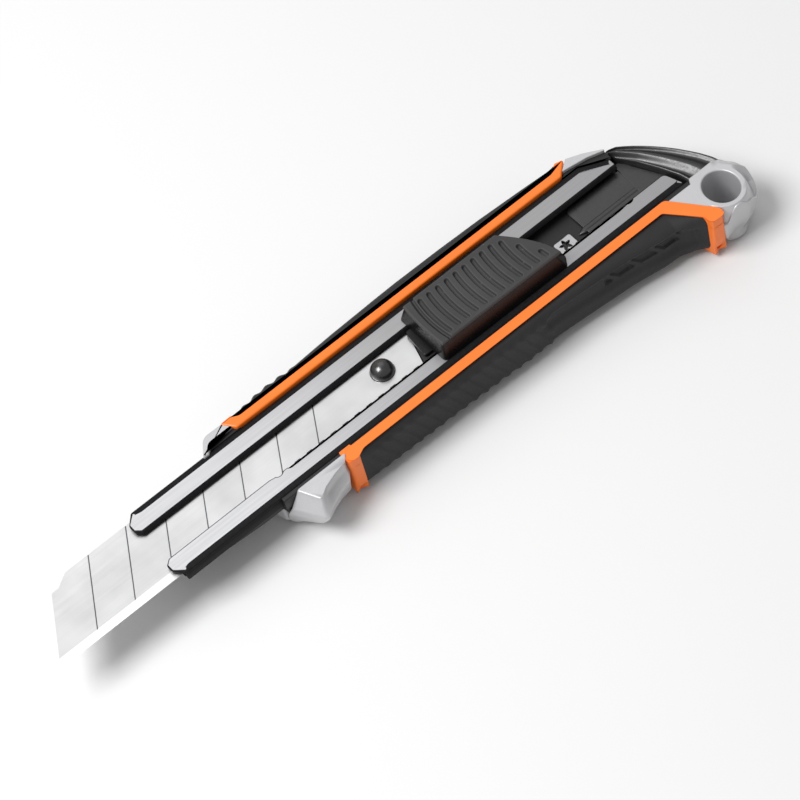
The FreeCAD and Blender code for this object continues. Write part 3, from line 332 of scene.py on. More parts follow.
def add_node(tree, kind, settings=None, **inputs):
    """Adds a node, sets its properties and inputs, and links the inputs that are sockets.

    An input goes by its name, with _ for a space, or by its number after an i.
    """
    node = tree.nodes.new(kind)
    for key, value in (settings or {}).items():
        setattr(node, key, value)
    for key, value in inputs.items():
        numbered = key[0] == "i" and key[1:].isdigit()
        socket = node.inputs[int(key[1:]) if numbered else key.replace("_", " ")]
        if isinstance(value, bpy.types.NodeSocket):
            tree.links.new(value, socket)
        else:
            socket.default_value = value
    return node


def new_material(name):
    """An empty material: its tree, its surface shader and its Object coordinates."""
    material = bpy.data.materials.new(name)
    material.use_nodes = True
    tree = material.node_tree
    tree.nodes.clear()
    shader = add_node(tree, "ShaderNodeBsdfPrincipled")
    add_node(tree, "ShaderNodeOutputMaterial", Surface=shader.outputs["BSDF"])
    place = add_node(tree, "ShaderNodeTexCoord").outputs["Object"]
    return material, tree, shader, place


def shades(tree, factor, *stops):
    """A colour ramp read at factor. A stop is (position, (red, green, blue))."""
    ramp = add_node(tree, "ShaderNodeValToRGB", Fac=factor)
    while len(ramp.color_ramp.elements) < len(stops):
        ramp.color_ramp.elements.new(0.5)
    for element, (position, colour) in zip(ramp.color_ramp.elements, stops):
        element.position = position
        element.color = (*colour, 1)
    return ramp.outputs["Color"]


def between(tree, value, low, high, first=0.0, last=1.0):
    """A value mapped from low..high to first..last, clamped."""
    return add_node(
        tree,
        "ShaderNodeMapRange",
        Value=value,
        From_Min=low,
        From_Max=high,
        To_Min=first,
        To_Max=last,
    ).outputs["Result"]


def noise(tree, place, grain, detail=3.0, stretch=(1, 1, 1)):
    """Noise whose features are about grain millimetres across, stretched along the axes."""
    mapping = add_node(tree, "ShaderNodeMapping", Vector=place, Scale=tuple(1 / s for s in stretch))
    cloud = add_node(
        tree,
        "ShaderNodeTexNoise",
        Vector=mapping.outputs["Vector"],
        Scale=1 / (grain * MM),
        Detail=detail,
    )
    return cloud.outputs["Fac"]


def relief(tree, shader, height, depth):
    """Bump of depth millimetres from a height."""
    bump = add_node(tree, "ShaderNodeBump", Strength=1.0, Distance=depth * MM, Height=height)
    tree.links.new(bump.outputs["Normal"], shader.inputs["Normal"])


def mix(tree, factor, first, second, blend="MIX"):
    """Two colours blended by a factor."""
    node = add_node(tree, "ShaderNodeMixRGB", {"blend_type": blend}, Fac=factor, Color1=first, Color2=second)
    return node.outputs["Color"]


def feed(tree, shader, **sources):
    """Links sources to the shader's inputs of the same names, with _ for a space."""
    for name, source in sources.items():
        tree.links.new(source, shader.inputs[name.replace("_", " ")])


def dimmed(colour, share):
    """A colour with its light scaled."""
    return tuple(min(1.0, part * share) for part in colour)


def ground_steel(colour):
    """SK carbon steel, ground along the blade: a pale satin with fine lines along X, and a brighter
    polished bevel at the cutting edge. Painted shade darkens the grooves of its snap scores into dark lines."""
    material, tree, shader, place = new_material("ground_carbon_steel")
    axes = add_node(tree, "ShaderNodeSeparateXYZ", Vector=place)
    # grinding lines are some 0.05 mm apart, drawn at 0.35 mm so that they show
    lines = noise(tree, place, 0.35, 2.0, (60, 1, 1))
    cloud = noise(tree, place, 9.0, 2.0)
    satin = shades(tree, cloud, (0.3, dimmed(colour, 0.9)), (0.7, dimmed(colour, 1.06)))
    streaks = shades(tree, lines, (0.35, (0.97, 0.97, 0.97)), (0.65, (1, 1, 1)))
    face = mix(tree, 1.0, satin, streaks, "MULTIPLY")
    bevel_top = float(BLADE_LOW[1] + 2.0) * MM
    on_bevel = between(tree, axes.outputs["Y"], bevel_top + 0.00008, bevel_top - 0.00008)
    polished = mix(tree, on_bevel, face, (0.95, 0.95, 0.95, 1))
    # painted shade: the snap score grooves are coloured dark where they lie in shade
    score_level = float(BLADE_HIGH[2]) * MM
    score_groove_shade = between(tree, axes.outputs["Z"], score_level - 0.00003, score_level - 0.0001)
    upper = between(tree, axes.outputs["Y"], bevel_top, bevel_top + 0.0001)
    above = between(tree, axes.outputs["Z"], score_level - 0.0003, score_level - 0.0002)
    painted_score_shade = add_node(tree, "ShaderNodeMath", {"operation": "MULTIPLY"}, i0=score_groove_shade, i1=upper)
    painted_score_shade = add_node(tree, "ShaderNodeMath", {"operation": "MULTIPLY"}, i0=painted_score_shade.outputs[0], i1=above)
    final = mix(tree, painted_score_shade.outputs[0], polished, (0.13, 0.13, 0.135, 1))
    feed(tree, shader, Base_Color=final, Roughness=between(tree, lines, 0.3, 0.7, 0.3, 0.42))
    shader.inputs["Metallic"].default_value = 1.0
    relief(tree, shader, lines, 0.004)
    return material


def guide_steel(colour):
    """Cold-rolled steel strip with a satin zinc finish: grey, with painted shade that grades it darker towards
    the tail as the reflected light falls off, and faint rolling lines along X."""
    material, tree, shader, place = new_material("satin_zinc_steel")
    axes = add_node(tree, "ShaderNodeSeparateXYZ", Vector=place)
    along = between(tree, axes.outputs["X"], float(GUIDE_LOW[0]) * MM, float(GUIDE_HIGH[0]) * MM)
    # painted shade: the lips' grey darkens towards the tail, where less light reflects off them
    painted_falloff = ((0.16, 1), (0.3, 0.88), (0.5, 0.62), (1.0, 0.54))
    shade = shades(tree, along, *[(position, dimmed(colour, share)) for position, share in painted_falloff])
    lines = noise(tree, place, 0.5, 2.0, (40, 1, 1))
    streaks = shades(tree, lines, (0.35, (0.92, 0.92, 0.92)), (0.65, (1, 1, 1)))
    base = mix(tree, 1.0, shade, streaks, "MULTIPLY")
    feed(tree, shader, Base_Color=base, Roughness=between(tree, lines, 0.3, 0.7, 0.34, 0.46))
    shader.inputs["Metallic"].default_value = 0.85
    relief(tree, shader, lines, 0.004)
    return material


def black_coat_and_edge_shade():
    """Near black with a soft sheen, for every face of the guide below its lips' flat tops: partly the strip's
    black coat, partly painted shade that draws dark outlines along the lips' rounded edges.
    """
    material, tree, shader, place = new_material("blued_steel_edge")
    cloud = noise(tree, place, 0.6)
    shade = shades(tree, cloud, (0.3, (0.004, 0.004, 0.005)), (0.7, (0.01, 0.01, 0.011)))
    feed(tree, shader, Base_Color=shade, Roughness=between(tree, cloud, 0.3, 0.7, 0.5, 0.6))
    shader.inputs["Specular IOR Level"].default_value = 0.15
    relief(tree, shader, cloud, 0.003)
    return material


def bright_steel(name, code, roughness=0.25):
    """Bare spring or screw steel: bright, with fine drawing marks."""
    material, tree, shader, place = new_material(name)
    marks = noise(tree, place, 0.25, 2.0, (1, 12, 1))
    colour = linear(code)
    shade = shades(tree, marks, (0.3, dimmed(colour, 0.8)), (0.7, colour))
    gloss = between(tree, marks, 0.3, 0.7, roughness, roughness + 0.15)
    feed(tree, shader, Base_Color=shade, Roughness=gloss)
    shader.inputs["Metallic"].default_value = 1.0
    relief(tree, shader, marks, 0.003)
    return material


def moulded(name, colour, roughness, grain, depth, spread=0.18, coat=0.0, wear_and_highlight=0.0, sheen=0.5):
    """Moulded plastic or rubber: spark-eroded grain as bump, small changes of colour and gloss."""
    material, tree, shader, place = new_material(name)
    texture = noise(tree, place, grain, 4.0)
    cloud = noise(tree, place, 14.0, 2.0)
    shade = shades(tree, cloud, (0.3, dimmed(colour, 1 - spread)), (0.7, dimmed(colour, 1 + spread / 2)))
    if wear_and_highlight:
        # the raised edges are paled: partly handling wear, partly painted highlight where rounded edges catch the
        # light
        edge = add_node(tree, "ShaderNodeNewGeometry").outputs["Pointiness"]
        worn_and_lit_edges = between(tree, edge, 0.5, 0.6)
        shade = mix(tree, worn_and_lit_edges, shade, (*dimmed(colour, 1 + wear_and_highlight), 1))
    gloss = between(tree, texture, 0.3, 0.7, roughness - 0.06, roughness + 0.08)
    feed(tree, shader, Base_Color=shade, Roughness=gloss)
    shader.inputs["Coat Weight"].default_value = coat
    shader.inputs["Coat Roughness"].default_value = 0.12
    shader.inputs["Specular IOR Level"].default_value = sheen
    relief(tree, shader, texture, depth)
    return material


def silver_lacquer(colour):
    """Silver lacquer on ABS: fine metal flakes under a clear coat, pale and soft."""
    material, tree, shader, place = new_material("silver_lacquered_abs")
    flakes = add_node(tree, "ShaderNodeTexVoronoi", Vector=place, Scale=1 / (0.16 * MM)).outputs["Color"]
    flake = add_node(tree, "ShaderNodeSeparateColor", Color=flakes).outputs["Red"]
    cloud = noise(tree, place, 12.0, 2.0)
    base = shades(tree, cloud, (0.3, dimmed(colour, 0.95)), (0.7, colour))
    spark = shades(tree, flake, (0.0, (0.93, 0.93, 0.93)), (1.0, (1, 1, 1)))
    lacquer = mix(tree, 1.0, base, spark, "MULTIPLY")
    feed(tree, shader, Base_Color=lacquer, Roughness=between(tree, flake, 0, 1, 0.34, 0.46))
    shader.inputs["Metallic"].default_value = 0.25
    shader.inputs["Coat Weight"].default_value = 0.3
    shader.inputs["Coat Roughness"].default_value = 0.2
    relief(tree, shader, noise(tree, place, 0.5), 0.004)
    return material


# name, colour setting, roughness, grain and depth in millimetres, and what else moulded() takes
MOULDED = {
    "gloss": ("polished_black_abs", "gloss", 0.3, 0.5, 0.002, {"sheen": 0.35}),
    "stud": ("black_oxide_stud", "gloss", 0.3, 0.5, 0.002, {"sheen": 1.0, "coat": 0.6}),
    "pad": ("thumb_pad_rubber", "pad", 0.6, 0.3, 0.02, {"wear_and_highlight": 0.8, "sheen": 0.4}),
    "black": ("black_glass_nylon", "black", 0.45, 0.4, 0.01, {"wear_and_highlight": 0.8, "sheen": 0.4}),
    "cap": ("satin_black_nylon", "black", 0.33, 0.4, 0.006, {"wear_and_highlight": 0.8, "sheen": 0.8}),
    "trim": ("orange_abs", "trim", 0.4, 0.4, 0.006, {"spread": 0.06, "coat": 0.15}),
    "grip": ("black_thermoplastic_rubber", "grip", 0.62, 0.3, 0.02, {"wear_and_highlight": 1.2, "sheen": 0.3}),
}
COATS = {}


def new_coat(name):
    """Makes one of the knife's materials from its name."""
    colours = bpy.context.scene.knife_colours
    if name in MOULDED:
        title, setting, roughness, grain, depth, others = MOULDED[name]
        return moulded(title, tuple(getattr(colours, setting)), roughness, grain, depth, **others)
    makers = {
        "blade": lambda: ground_steel(tuple(colours.blade)),
        "guide": lambda: guide_steel(tuple(colours.guide)),
        "silver": lambda: silver_lacquer(tuple(colours.silver)),
        "edge": black_coat_and_edge_shade,
        "spring": lambda: bright_steel("bright_spring_steel", "#c8c8ca"),
        "screw": lambda: bright_steel("zinc_plated_screw_steel", "#a8a8ac", 0.3),
    }
    return makers[name]()


def coat(name):
    """The knife's materials, each made once."""
    if name not in COATS:
        COATS[name] = new_coat(name)
    return COATS[name]


def recoat(node, name):
    """Gives a frame node that stays its material."""
    slots = frame["nodes"][node].data.materials
    slots.clear()
    slots.append(coat(name))


# ---------------------------------------------------------------- blade, carriage and guide


def lip_edge(x):
    """Inner edge of the lower lip: straight ahead of the scallops, then a row of round hollows whose
    crests are softened. A hollow is the arc of a circle, met by the crest line."""
    sizes = bpy.context.scene.knife_sizes
    pitch = sizes.scallop_pitch / MM
    radius = sizes.scallop_radius / MM
    first, count = -48.6, 31
    crest, bottom, front = -5.15, -5.65, -4.9
    number = np.clip(np.round((x - first) / pitch), 0, count - 1)
    across = np.abs(x - first - number * pitch)
    hollow = bottom + radius - np.sqrt(np.maximum(radius**2 - across**2, 0))
    softness = 0.16
    gap = np.clip(0.5 + 0.5 * (crest - hollow) / softness, 0, 1)
    wave = crest * (1 - gap) + hollow * gap - softness * gap * (1 - gap)
    wave = np.where(across < radius, wave, crest)
    blend = smooth_step((x - (first - 2.6)) / 1.6)
    return front + (wave - front) * blend


def make_guide():
    """Folded strip: two lips with rounded punched edges, two walls and a floor."""
    sizes = bpy.context.scene.knife_sizes
    small = sizes.edge_round / MM
    top = GUIDE_HIGH[2]
    under = top - 0.85
    front = GUIDE_LOW[0]
    low_side, up_side = GUIDE_LOW[1], GUIDE_HIGH[1]
    bend, shadow_flare = 1.5, 0.6
    upper = rounded(
        [
            (front, 5.6, 0.5), (front + 1.3, 4.4, 0.5), (54.5, 4.4, 0.4), (54.5, 6.5, 0.5),
            (48, up_side, 0.6), (front + 2.2, up_side, 0.8), (front, up_side - 2.4, 0.8),
        ],
        spacing=1.5,
    )
    lower = rounded(
        [
            (60.0, -5.15, 1.4), (front + 1.3, -4.9, 0.5), (front, -6.0, 0.5), (front, -7.9, 0.8),
            (front + 2.2, low_side, 0.8), (61.6, low_side, 0.5),
        ],
        spacing=0.1,
    )
    inner = (lower[:, 1] > -5.3) & (lower[:, 0] > front + 1.8) & (lower[:, 0] < 58.3)
    lower[inner, 1] = lip_edge(lower[inner, 0])
    profile = edge_profile(under, top, (0.02, 0.02), (small, small), 4)
    solids = []
    for outline, side in ((upper, 1), (lower, -1)):
        normal = outward(outline)
        # the folded side has the strip's bend, the punched side only its broken edge
        folded = smooth_step((normal[:, 1] * side - 0.5) / 0.4) * smooth_step((outline[:, 0] - front) / 4)
        share = 1 + folded * (bend / small - 1)
        rings = rise(outline, profile, share)
        if side > 0:
            # the upper lip's inner edge leans out below, so that its near-black wall also covers the shadow under
            # the lip: painted shade
            facing = smooth_step((-normal[:, 1] - 0.3) / 0.5)
            rings[..., 1] -= shadow_flare * facing[None] * np.clip((top - rings[..., 2]) / (top - under), 0, 1)
        solids.append(skin(rings))
    floor = GUIDE_LOW[2]
    for near_y, rear_x in ((low_side, 61.0), (up_side - SHEET, 48)):
        solids.append(slab(oblong(front + 2, near_y, rear_x, near_y + SHEET, 0.1), floor, top - 0.55, 0.1))
    base = [
        (front + 2, low_side + 0.3, 0.2), (58.2, low_side + 0.3, 0.2), (57.2, -5.2, 0.3),
        (29, -5.2, 0.3), (29, 5.2, 0.3), (54.3, 5.2, 0.3), (54.3, 6.2, 0.3), (48, up_side - 0.3, 0.2),
        (front + 2, up_side - 0.3, 0.2),
    ]
    solids.append(slab(base, floor, floor + SHEET, 0.1))
    add_piece(
        "blade_guide_formed",
        merged(*solids),
        [coat("edge"), coat("guide")],
        "handle",
        ["blade_guide"],
        # painted shade: faces below the lips' flat tops take the near-black edge material, outlining the lips in
        # dark; the walls' black is the strip's coat
        coat_of=lambda middles: middles[:, 2] > top - 0.004,
    )


def make_stud():
    """Domed stud: a ball cap on a short shoulder."""
    radius = (STUD_HIGH[0] - STUD_LOW[0]) / 2
    crown = STUD_HIGH[2]
    shoulder = BLADE_HIGH[2] + 0.2
    climb = crown - shoulder
    ball = (radius**2 + climb**2) / (2 * climb)
    spread = radius * np.sin(np.linspace(np.pi / 2, 0.01, 16))
    dome = np.column_stack([spread, crown - ball + np.sqrt(ball**2 - spread**2)])
    foot = [[0.02, STUD_LOW[2]], [1.5, STUD_LOW[2]], [1.5, BLADE_LOW[2]], [radius, BLADE_LOW[2]]]
    profile = np.concatenate([foot, dome])
    centre = (STUD_LOW + STUD_HIGH) / 2
    dome = skin(turned(centre, profile, 64))
    add_piece("blade_stud_domed", dome, [coat("stud")], "blade_carriage", ["blade_stud"])


def button_corners(front, low, rear, up, round_by):
    """Plan of the slider: straight sides, a cut rear corner and a bowed rear edge."""
    return [
        (front, up, round_by), (front, low, round_by), (rear - 1.6, low, round_by),
        (rear, low + 2.6, round_by), (rear - 3.4, up - 5.2, 9.0), (rear - 7.6, up, round_by),
    ]


def make_button():
    """Polished slider body: drafted walls that lean in towards the pad, and a foot between the lips."""
    low, high = BUTTON_LOW, BUTTON_HIGH
    under = GUIDE_HIGH[2] + 0.1
    seat = PAD_LOW[2]
    keys = {
        under: button_corners(low[0], low[1], high[0], high[1], 1.0),
        seat: button_corners(low[0] + 1.0, low[1] + 1.2, high[0] - 1.7, high[1] - 1.0, 0.9),
    }
    heights = np.array([under, under + 0.01, *np.linspace(under + 0.3, seat - 0.01, 8), seat])
    rings = lofted(keys, heights, spacing=0.5)
    middle = rings[0].mean(axis=0)
    rings[0, :, :2] = middle[:2] + (rings[0, :, :2] - middle[:2]) * 0.985
    foot = [(-7.6, -4.4, 0.6), (-4.2, -4.4, 0.6), (-4.2, 3.5, 0.6), (-6.8, 3.5, 0.6)]
    foot = slab(foot, 12.1, 13.4, 0.2)
    neck = slab(oblong(-4, -1.2, 21, 3.5, 0.3), low[2], under + 0.5, 0.02)
    add_piece(
        "slider_button_body",
        merged(skin(rings), foot, neck),
        [coat("gloss")],
        "blade_carriage",
        ["slider_button"],
    )


def make_thumb_pad():
    """Thumb pad: a height over the plan. From the flat top it takes away twelve round-ended grooves that
    follow shallow arcs, the long groove behind the smooth front strip, and a rounding at the rim."""
    sizes = bpy.context.scene.knife_sizes
    pitch = sizes.thumb_rib_pitch / MM
    width = sizes.thumb_groove_width / MM
    depth = sizes.thumb_groove_depth / MM
    low_y, up_y = BUTTON_LOW[1] + 1.25, BUTTON_HIGH[1] - 1.0
    top, floor = PAD_HIGH[2], PAD_LOW[2] - 0.05
    across, along = np.meshgrid(np.linspace(0, 1, 430), np.linspace(0, 1, 110))
    y = low_y + (up_y - low_y) * along
    bow = 0.6 * ((y + 1.6) / 6) ** 2
    front = BUTTON_LOW[0] + 0.62 + bow * 0.5
    rear = BUTTON_HIGH[0] - 1.75 - 7.3 * np.clip((y - low_y) / (up_y - low_y), 0, 1) ** 1.55
    x = front + (rear - front) * across
    straight = x - bow
    height = np.full_like(x, top)
    half = width / 2
    for number in range(12):
        centre = -1.5 + pitch * number
        to_rear = max(0, BUTTON_HIGH[0] - 3.6 - centre)
        upper_end = min(up_y - 1.15, low_y + (up_y - low_y) * (to_rear / 7.3) ** 0.645 - 0.7)
        lower_end = low_y + 0.85
        beyond = np.maximum(np.maximum(y - (upper_end - half), (lower_end + half) - y), 0)
        gap = np.hypot(straight - centre, beyond) / half
        height -= depth * smooth_step((1 - gap) * 1.7)
    strip_end = BUTTON_LOW[0] + 2.65
    strip_gap = np.abs(straight - strip_end) / 0.55
    height -= 0.75 * smooth_step((1 - strip_gap) * 1.6)
    height = np.where(straight < strip_end, height - 0.3, height)
    rim = np.minimum(np.minimum(y - low_y, up_y - y), np.minimum(x - front, (rear - x) * 0.8))
    fall = 0.45
    height -= fall * (1 - np.sqrt(np.clip(1 - (1 - np.clip(rim / fall, 0, 1)) ** 2, 0, 1)))
    pad = blanket(np.stack([x, y, height], axis=-1), floor)
    coats = [coat("pad")]
    add_piece("slider_pad_ribbed", pad, coats, "blade_carriage", ["slider_pad"], sharp=60)


# ---------------------------------------------------------------- housing


def make_trims():
    """Orange bands: a plate on the plan of each, with softly rounded edges. Each end of the lower band
    turns down over the housing's side, as a block whose wall is rounded in underneath."""
    base = UPPER_TRIM_LOW[2]
    top = UPPER_TRIM_HIGH[2]
    upper = [
        (-48.0, 10.1, 0.5), (43.6, 10.1, 1.0), (47.1, 13.4, 0.4), (44.9, 14.0, 0.4), (42.4, 12.5, 1.2),
        (-45.6, 12.5, 1.2), (-47.4, 13.5, 0.4), (-50.4, 13.4, 0.4),
    ]
    outline = rounded(upper, 0.8)
    rings = rise(outline, edge_profile(base + 1.2, top, (0.1, 0.1), (0.45, 0.45), 5))
    add_piece("upper_trim_band", skin(rings), [coat("trim")], "handle", ["upper_trim"])
    lower = [
        (-36.5, -14.15, 0.9), (-34.9, -11.55, 2.2), (54.6, -11.55, 1.2), (61.7, -21.6, 2.5),
        (61.5, -23.0, 0.8), (58.4, -22.9, 0.8), (58.2, -20.6, 1.5), (52.4, -13.15, 1.2),
        (-31.9, -13.15, 2.2), (-34.1, -14.2, 0.8),
    ]
    band = skin(rise(rounded(lower, 0.8), edge_profile(base, top, (0.1, 0.1), (0.35, 0.35), 5)))
    low = LOWER_GRIP_LOW[2]
    legs = []
    front_leg = [(-36.4, -10.5, 0.3), (-36.4, -14.2, 0.8), (-33.4, -14.3, 0.5), (-33.4, -10.5, 0.3)]
    rear_leg = [
        (57.2, -16.5, 0.3), (58.4, -22.9, 0.6), (61.5, -23.1, 0.8), (61.9, -20.0, 0.5),
        (60.5, -17.5, 0.3),
    ]
    for corners, inset in ((front_leg, (3.4, 3.4)), (rear_leg, (3.2, 5.5))):
        outline = rounded(corners, 0.4)
        down = smooth_step((-outward(outline)[:, 1] - 0.2) / 0.5)
        profile = edge_profile(low, top - 0.35, inset, (0.1, 0.1), 10)
        legs.append(skin(rise(outline, profile, np.maximum(down, 0.01))))
    lower = merged(band, *legs)
    add_piece("lower_trim_band", lower, [coat("trim")], "handle", ["lower_trim"], sharp=50)


def make_front_corner():
    """Rounded corner block ahead of the upper band: it wraps round the black liner's front."""
    low = SHELL_LOW[2]
    corners = [
        (-58.0, 9.2, 0.3), (-56.3, 9.2, 0.2), (-54.6, 11.0, 1.6), (-48.2, 11.0, 0.1),
        (-49.6, 13.4, 0.1), (-54.9, 13.5, 2.6),
    ]
    rings = rise(rounded(corners, 0.3), edge_profile(low, HOUSING_TOP, (1.2, 1.2), (0.5, 0.5), 6))
    add_piece("front_corner_block", skin(rings), [coat("silver")], "handle")


def make_guard():
    """Finger guard: level outlines from the flat top down to the point, then rounded in underneath. The
    front face slopes, and the side under the top's lower edge is a hollow that flares outwards."""
    # height: corners from the front edge round the point to the band, as (x, y, radius)
    keys = {
        14.0: [
            (-48.6, -11.5, 0.3), (-46.2, -16.9, 0.4), (-43.6, -15.3, 2.0),
            (-40.0, -14.0, 4.0), (-36.8, -13.3, 0.5), (-35.2, -11.5, 0.3),
        ],
        13.0: [
            (-49.1, -11.5, 0.3), (-46.2, -17.3, 0.4), (-43.7, -15.1, 2.0),
            (-40.2, -13.9, 4.0), (-37.0, -13.2, 0.5), (-35.2, -11.5, 0.3),
        ],
        11.6: [
            (-50.0, -11.5, 0.3), (-46.5, -18.1, 0.6), (-43.8, -15.2, 1.6),
            (-40.4, -14.1, 4.0), (-37.3, -13.6, 0.5), (-35.2, -11.5, 0.3),
        ],
        9.6: [
            (-51.2, -11.5, 0.3), (-46.9, -19.1, 1.0), (-43.6, -17.1, 2.4),
            (-41.0, -15.9, 4.0), (-37.8, -15.1, 0.5), (-35.2, -11.5, 0.3),
        ],
        7.0: [
            (-52.0, -10.5, 0.3), (-46.9, -18.4, 1.4), (-43.4, -16.6, 2.4),
            (-40.6, -15.3, 4.0), (-37.8, -14.6, 0.5), (-35.2, -10.5, 0.3),
        ],
        4.0: [
            (-52.0, -9.4, 0.3), (-46.8, -16.4, 1.6), (-43.2, -14.9, 2.4),
            (-40.2, -14.0, 4.0), (-37.4, -13.5, 0.5), (-35.2, -9.4, 0.3),
        ],
        0.8: [
            (-51.0, -9.0, 0.3), (-46.0, -13.0, 1.4), (-43.2, -11.9, 1.4),
            (-40.2, -11.5, 2.0), (-37.4, -11.2, 0.5), (-35.2, -9.0, 0.3),
        ],
    }
    heights = np.concatenate([np.linspace(0.8, 13.8, 40), [HOUSING_TOP - 0.07, HOUSING_TOP]])
    rings = lofted(keys, heights, spacing=0.3)
    middle = rings[-1].mean(axis=0)
    rings[-2, :, :2] += (middle[:2] - rings[-2, :, :2]) * 0.01
    rings[-1, :, :2] += (middle[:2] - rings[-1, :, :2]) * 0.04
    add_piece("finger_guard", skin(rings), [coat("silver")], "handle", sharp=50)


def make_shells():
    """Both halves of the housing's middle, which the bands and grips cover, and the back's rounded edge."""
    front_low = SHELL_LOW[2]
    plan = [
        (-57.2, 9.2, 0.5), (-52.0, -9.2, 1.0), (-46.5, -10.9, 2.0), (-36.0, -11.6, 3.0),
        (52.4, -12.6, 2.0), (57.0, -17.4, 0.6), (62.2, -11.8, 0.5), (55.0, 5.3, 0.6), (55.0, 9.2, 0.8),
        (46.5, 12.4, 1.5), (-50.0, 12.9, 1.0), (-56.2, 12.9, 1.4),
    ]
    outline = rounded(plan, 0.8)
    rings = rise(outline, edge_profile(front_low, 7.4, (0.12, 0.12), (0.1, 0.1), 3))
    add_piece("front_shell_core", skin(rings), [coat("silver")], "handle", ["front_shell"])
    rings = rise(outline, edge_profile(BACK_LOW[2], front_low, (2.2, 3.6), (0.12, 0.12), 8))
    add_piece("back_shell_rounded", skin(rings), [coat("silver")], "handle", ["back_shell"])


def make_tray():
    """Inner frame: a tray under the guide, its rails and thin liner walls beside it, the black corner behind
    the upper lip and the tapered nose under the guide's front. The liners and corners are black frame
    plastic whose black also stands in for painted shade in the gap between the guide and the housing."""
    low, under = FRAME_LOW[2], GUIDE_LOW[2] - 0.05
    liner = GUIDE_HIGH[2] - 0.03
    side = 9.98  # the upper walls' inner face
    tray = [
        (-51.5, -10.9, 0.2), (62.3, -11.3, 0.2), (55.0, 5.5, 0.3), (55.0, 8.6, 0.3), (47.5, 11.4, 0.3),
        (-56.4, 11.4, 0.3),
    ]
    low_liner = [(-52.0, -11.5, 0.1), (61.9, -11.75, 0.1), (62.4, -10.4, 0.1), (-52.0, -10.4, 0.1)]
    up_liner = [(-56.5, side, 0.1), (47.9, side, 0.1), (46.5, 11.5, 0.1), (-55.4, 11.5, 1.0)]
    front_corner = [(-56.8, side, 0.4), (-47.2, side, 0.1), (-47.2, 11.4, 0.1), (-55.2, 11.4, 2.0)]
    rear_corner = [
        (43.0, side, 0.1), (48.1, side, 0.3), (54.7, 6.55, 0.3), (55.1, 6.7, 0.1), (55.1, 9.0, 0.3),
        (51.4, 10.4, 3.0), (45.6, 11.5, 0.3),
    ]
    # painted shade: the black liner walls and corners also fill the shaded gap between the guide and the housing
    parts = [
        slab(tray, low, under, 0.1),
        slab(low_liner, under - 0.2, liner, 0.12),
        slab(up_liner, under - 0.2, liner - 0.9, 0.1),
        slab(front_corner, 10.5, liner, 0.2),
        slab(rear_corner, 10.5, liner - 0.15, 0.2),
    ]
    run = np.array([-77.5, -77.3, -70.0, -63.0, -57.0, -54.0, -49.5])
    keel = np.interp(run, [-77.5, -57.0], [under - 0.3, low])[:, None]
    half = np.interp(run, [-77.5, -76.5], [8.7, 9.1])[:, None]
    turn = np.linspace(0, 2 * np.pi, 49)[:-1]
    # the nose's section is a superellipse, close to a box: sign(c) |c|^0.12 of the cosine and the sine
    across, upright = (np.sign(wave) * np.abs(wave) ** 0.12 for wave in (np.cos(turn), np.sin(turn)))
    nose = swept(run, -0.2 + half * across, (under + keel) / 2 + (under - keel) / 2 * upright)
    tray = merged(*parts, nose)
    add_piece("inner_frame_tray", tray, [coat("black")], "handle", ["inner_frame"], sharp=40)


def make_tail():
    """Tail with its lanyard eye: rings go up the hole, over a raised round rim, across the top to the
    plan's edge and down, and the last joins the first. Below and behind the eye the top falls in a
    hollow to a lower flange, and at the rear it rolls over in a wide rounding."""
    centre = EYE[:2]
    outline = rounded(
        [
            (54.3, -11.8, 0.2), (60.6, -19.4, 0.4), (61.2, -23.2, 0.8), (68.2, -23.7, 3.5),
            (72.6, -21.4, 4.5), (74.7, -17.2, 4.0), (73.4, -12.8, 4.0), (71.4, -10.45, 0.6),
            (62.6, -10.45, 0.4), (61.9, -11.8, 0.3),
        ],
        0.25,
        10,
    )
    angle = np.linspace(-np.pi, np.pi, 361)[:-1]
    length = polar(outline, centre, angle)
    unit = np.column_stack([np.cos(angle), np.sin(angle)])
    hole = 1 / np.hypot(unit[:, 0] / 4.05, unit[:, 1] / 4.6)
    below = smooth_step((np.cos(angle + 1.2) + 0.1) / 0.6)
    behind = smooth_step((np.cos(angle - 0.1) - 0.45) / 0.4)
    top, base = HOUSING_TOP, BACK_LOW[2]
    rim, brim = 0.35, 0.4
    start = hole + rim
    reach = length - brim
    radii = [hole] * 8
    heights = [np.full_like(angle, height) for height in np.linspace(base + 0.6, top - rim, 8)]
    for turn in np.linspace(0, np.pi / 2, 6)[1:]:
        radii.append(hole + rim * (1 - np.cos(turn)))
        heights.append(np.full_like(angle, top - rim + rim * np.sin(turn)))
    for share in np.linspace(0, 1, 34)[1:]:
        radius = start + (reach - start) * share
        step = 4.2 * smooth_step((radius - start - 0.75) / 1.5) * below
        roll = 1.9 * np.clip((radius - (reach - 2.2)) / 2.2, 0, 1) ** 2 * behind
        radii.append(radius)
        heights.append(top - np.maximum(step, roll))
    edge = heights[-1]
    for turn in np.linspace(0, np.pi / 2, 5)[1:]:
        radii.append(reach + brim * np.sin(turn))
        heights.append(edge - brim * (1 - np.cos(turn)))
    tuck = 4.4 * below + 1.0 * (1 - below)
    for turn in np.linspace(0, np.pi / 2, 14):
        radii.append(length - tuck * (1 - np.cos(turn)))
        heights.append(edge - 1.0 + (base - edge + 1.0) * np.sin(turn))
    radii.append(hole + 0.5)
    heights.append(np.full_like(angle, base))
    radii, heights = np.stack(radii), np.stack(heights)
    rings = np.concatenate([centre + radii[..., None] * unit[None], heights[..., None]], axis=-1)
    add_piece("tail_eye", tube_skin(rings), [coat("silver")], "handle", sharp=50)


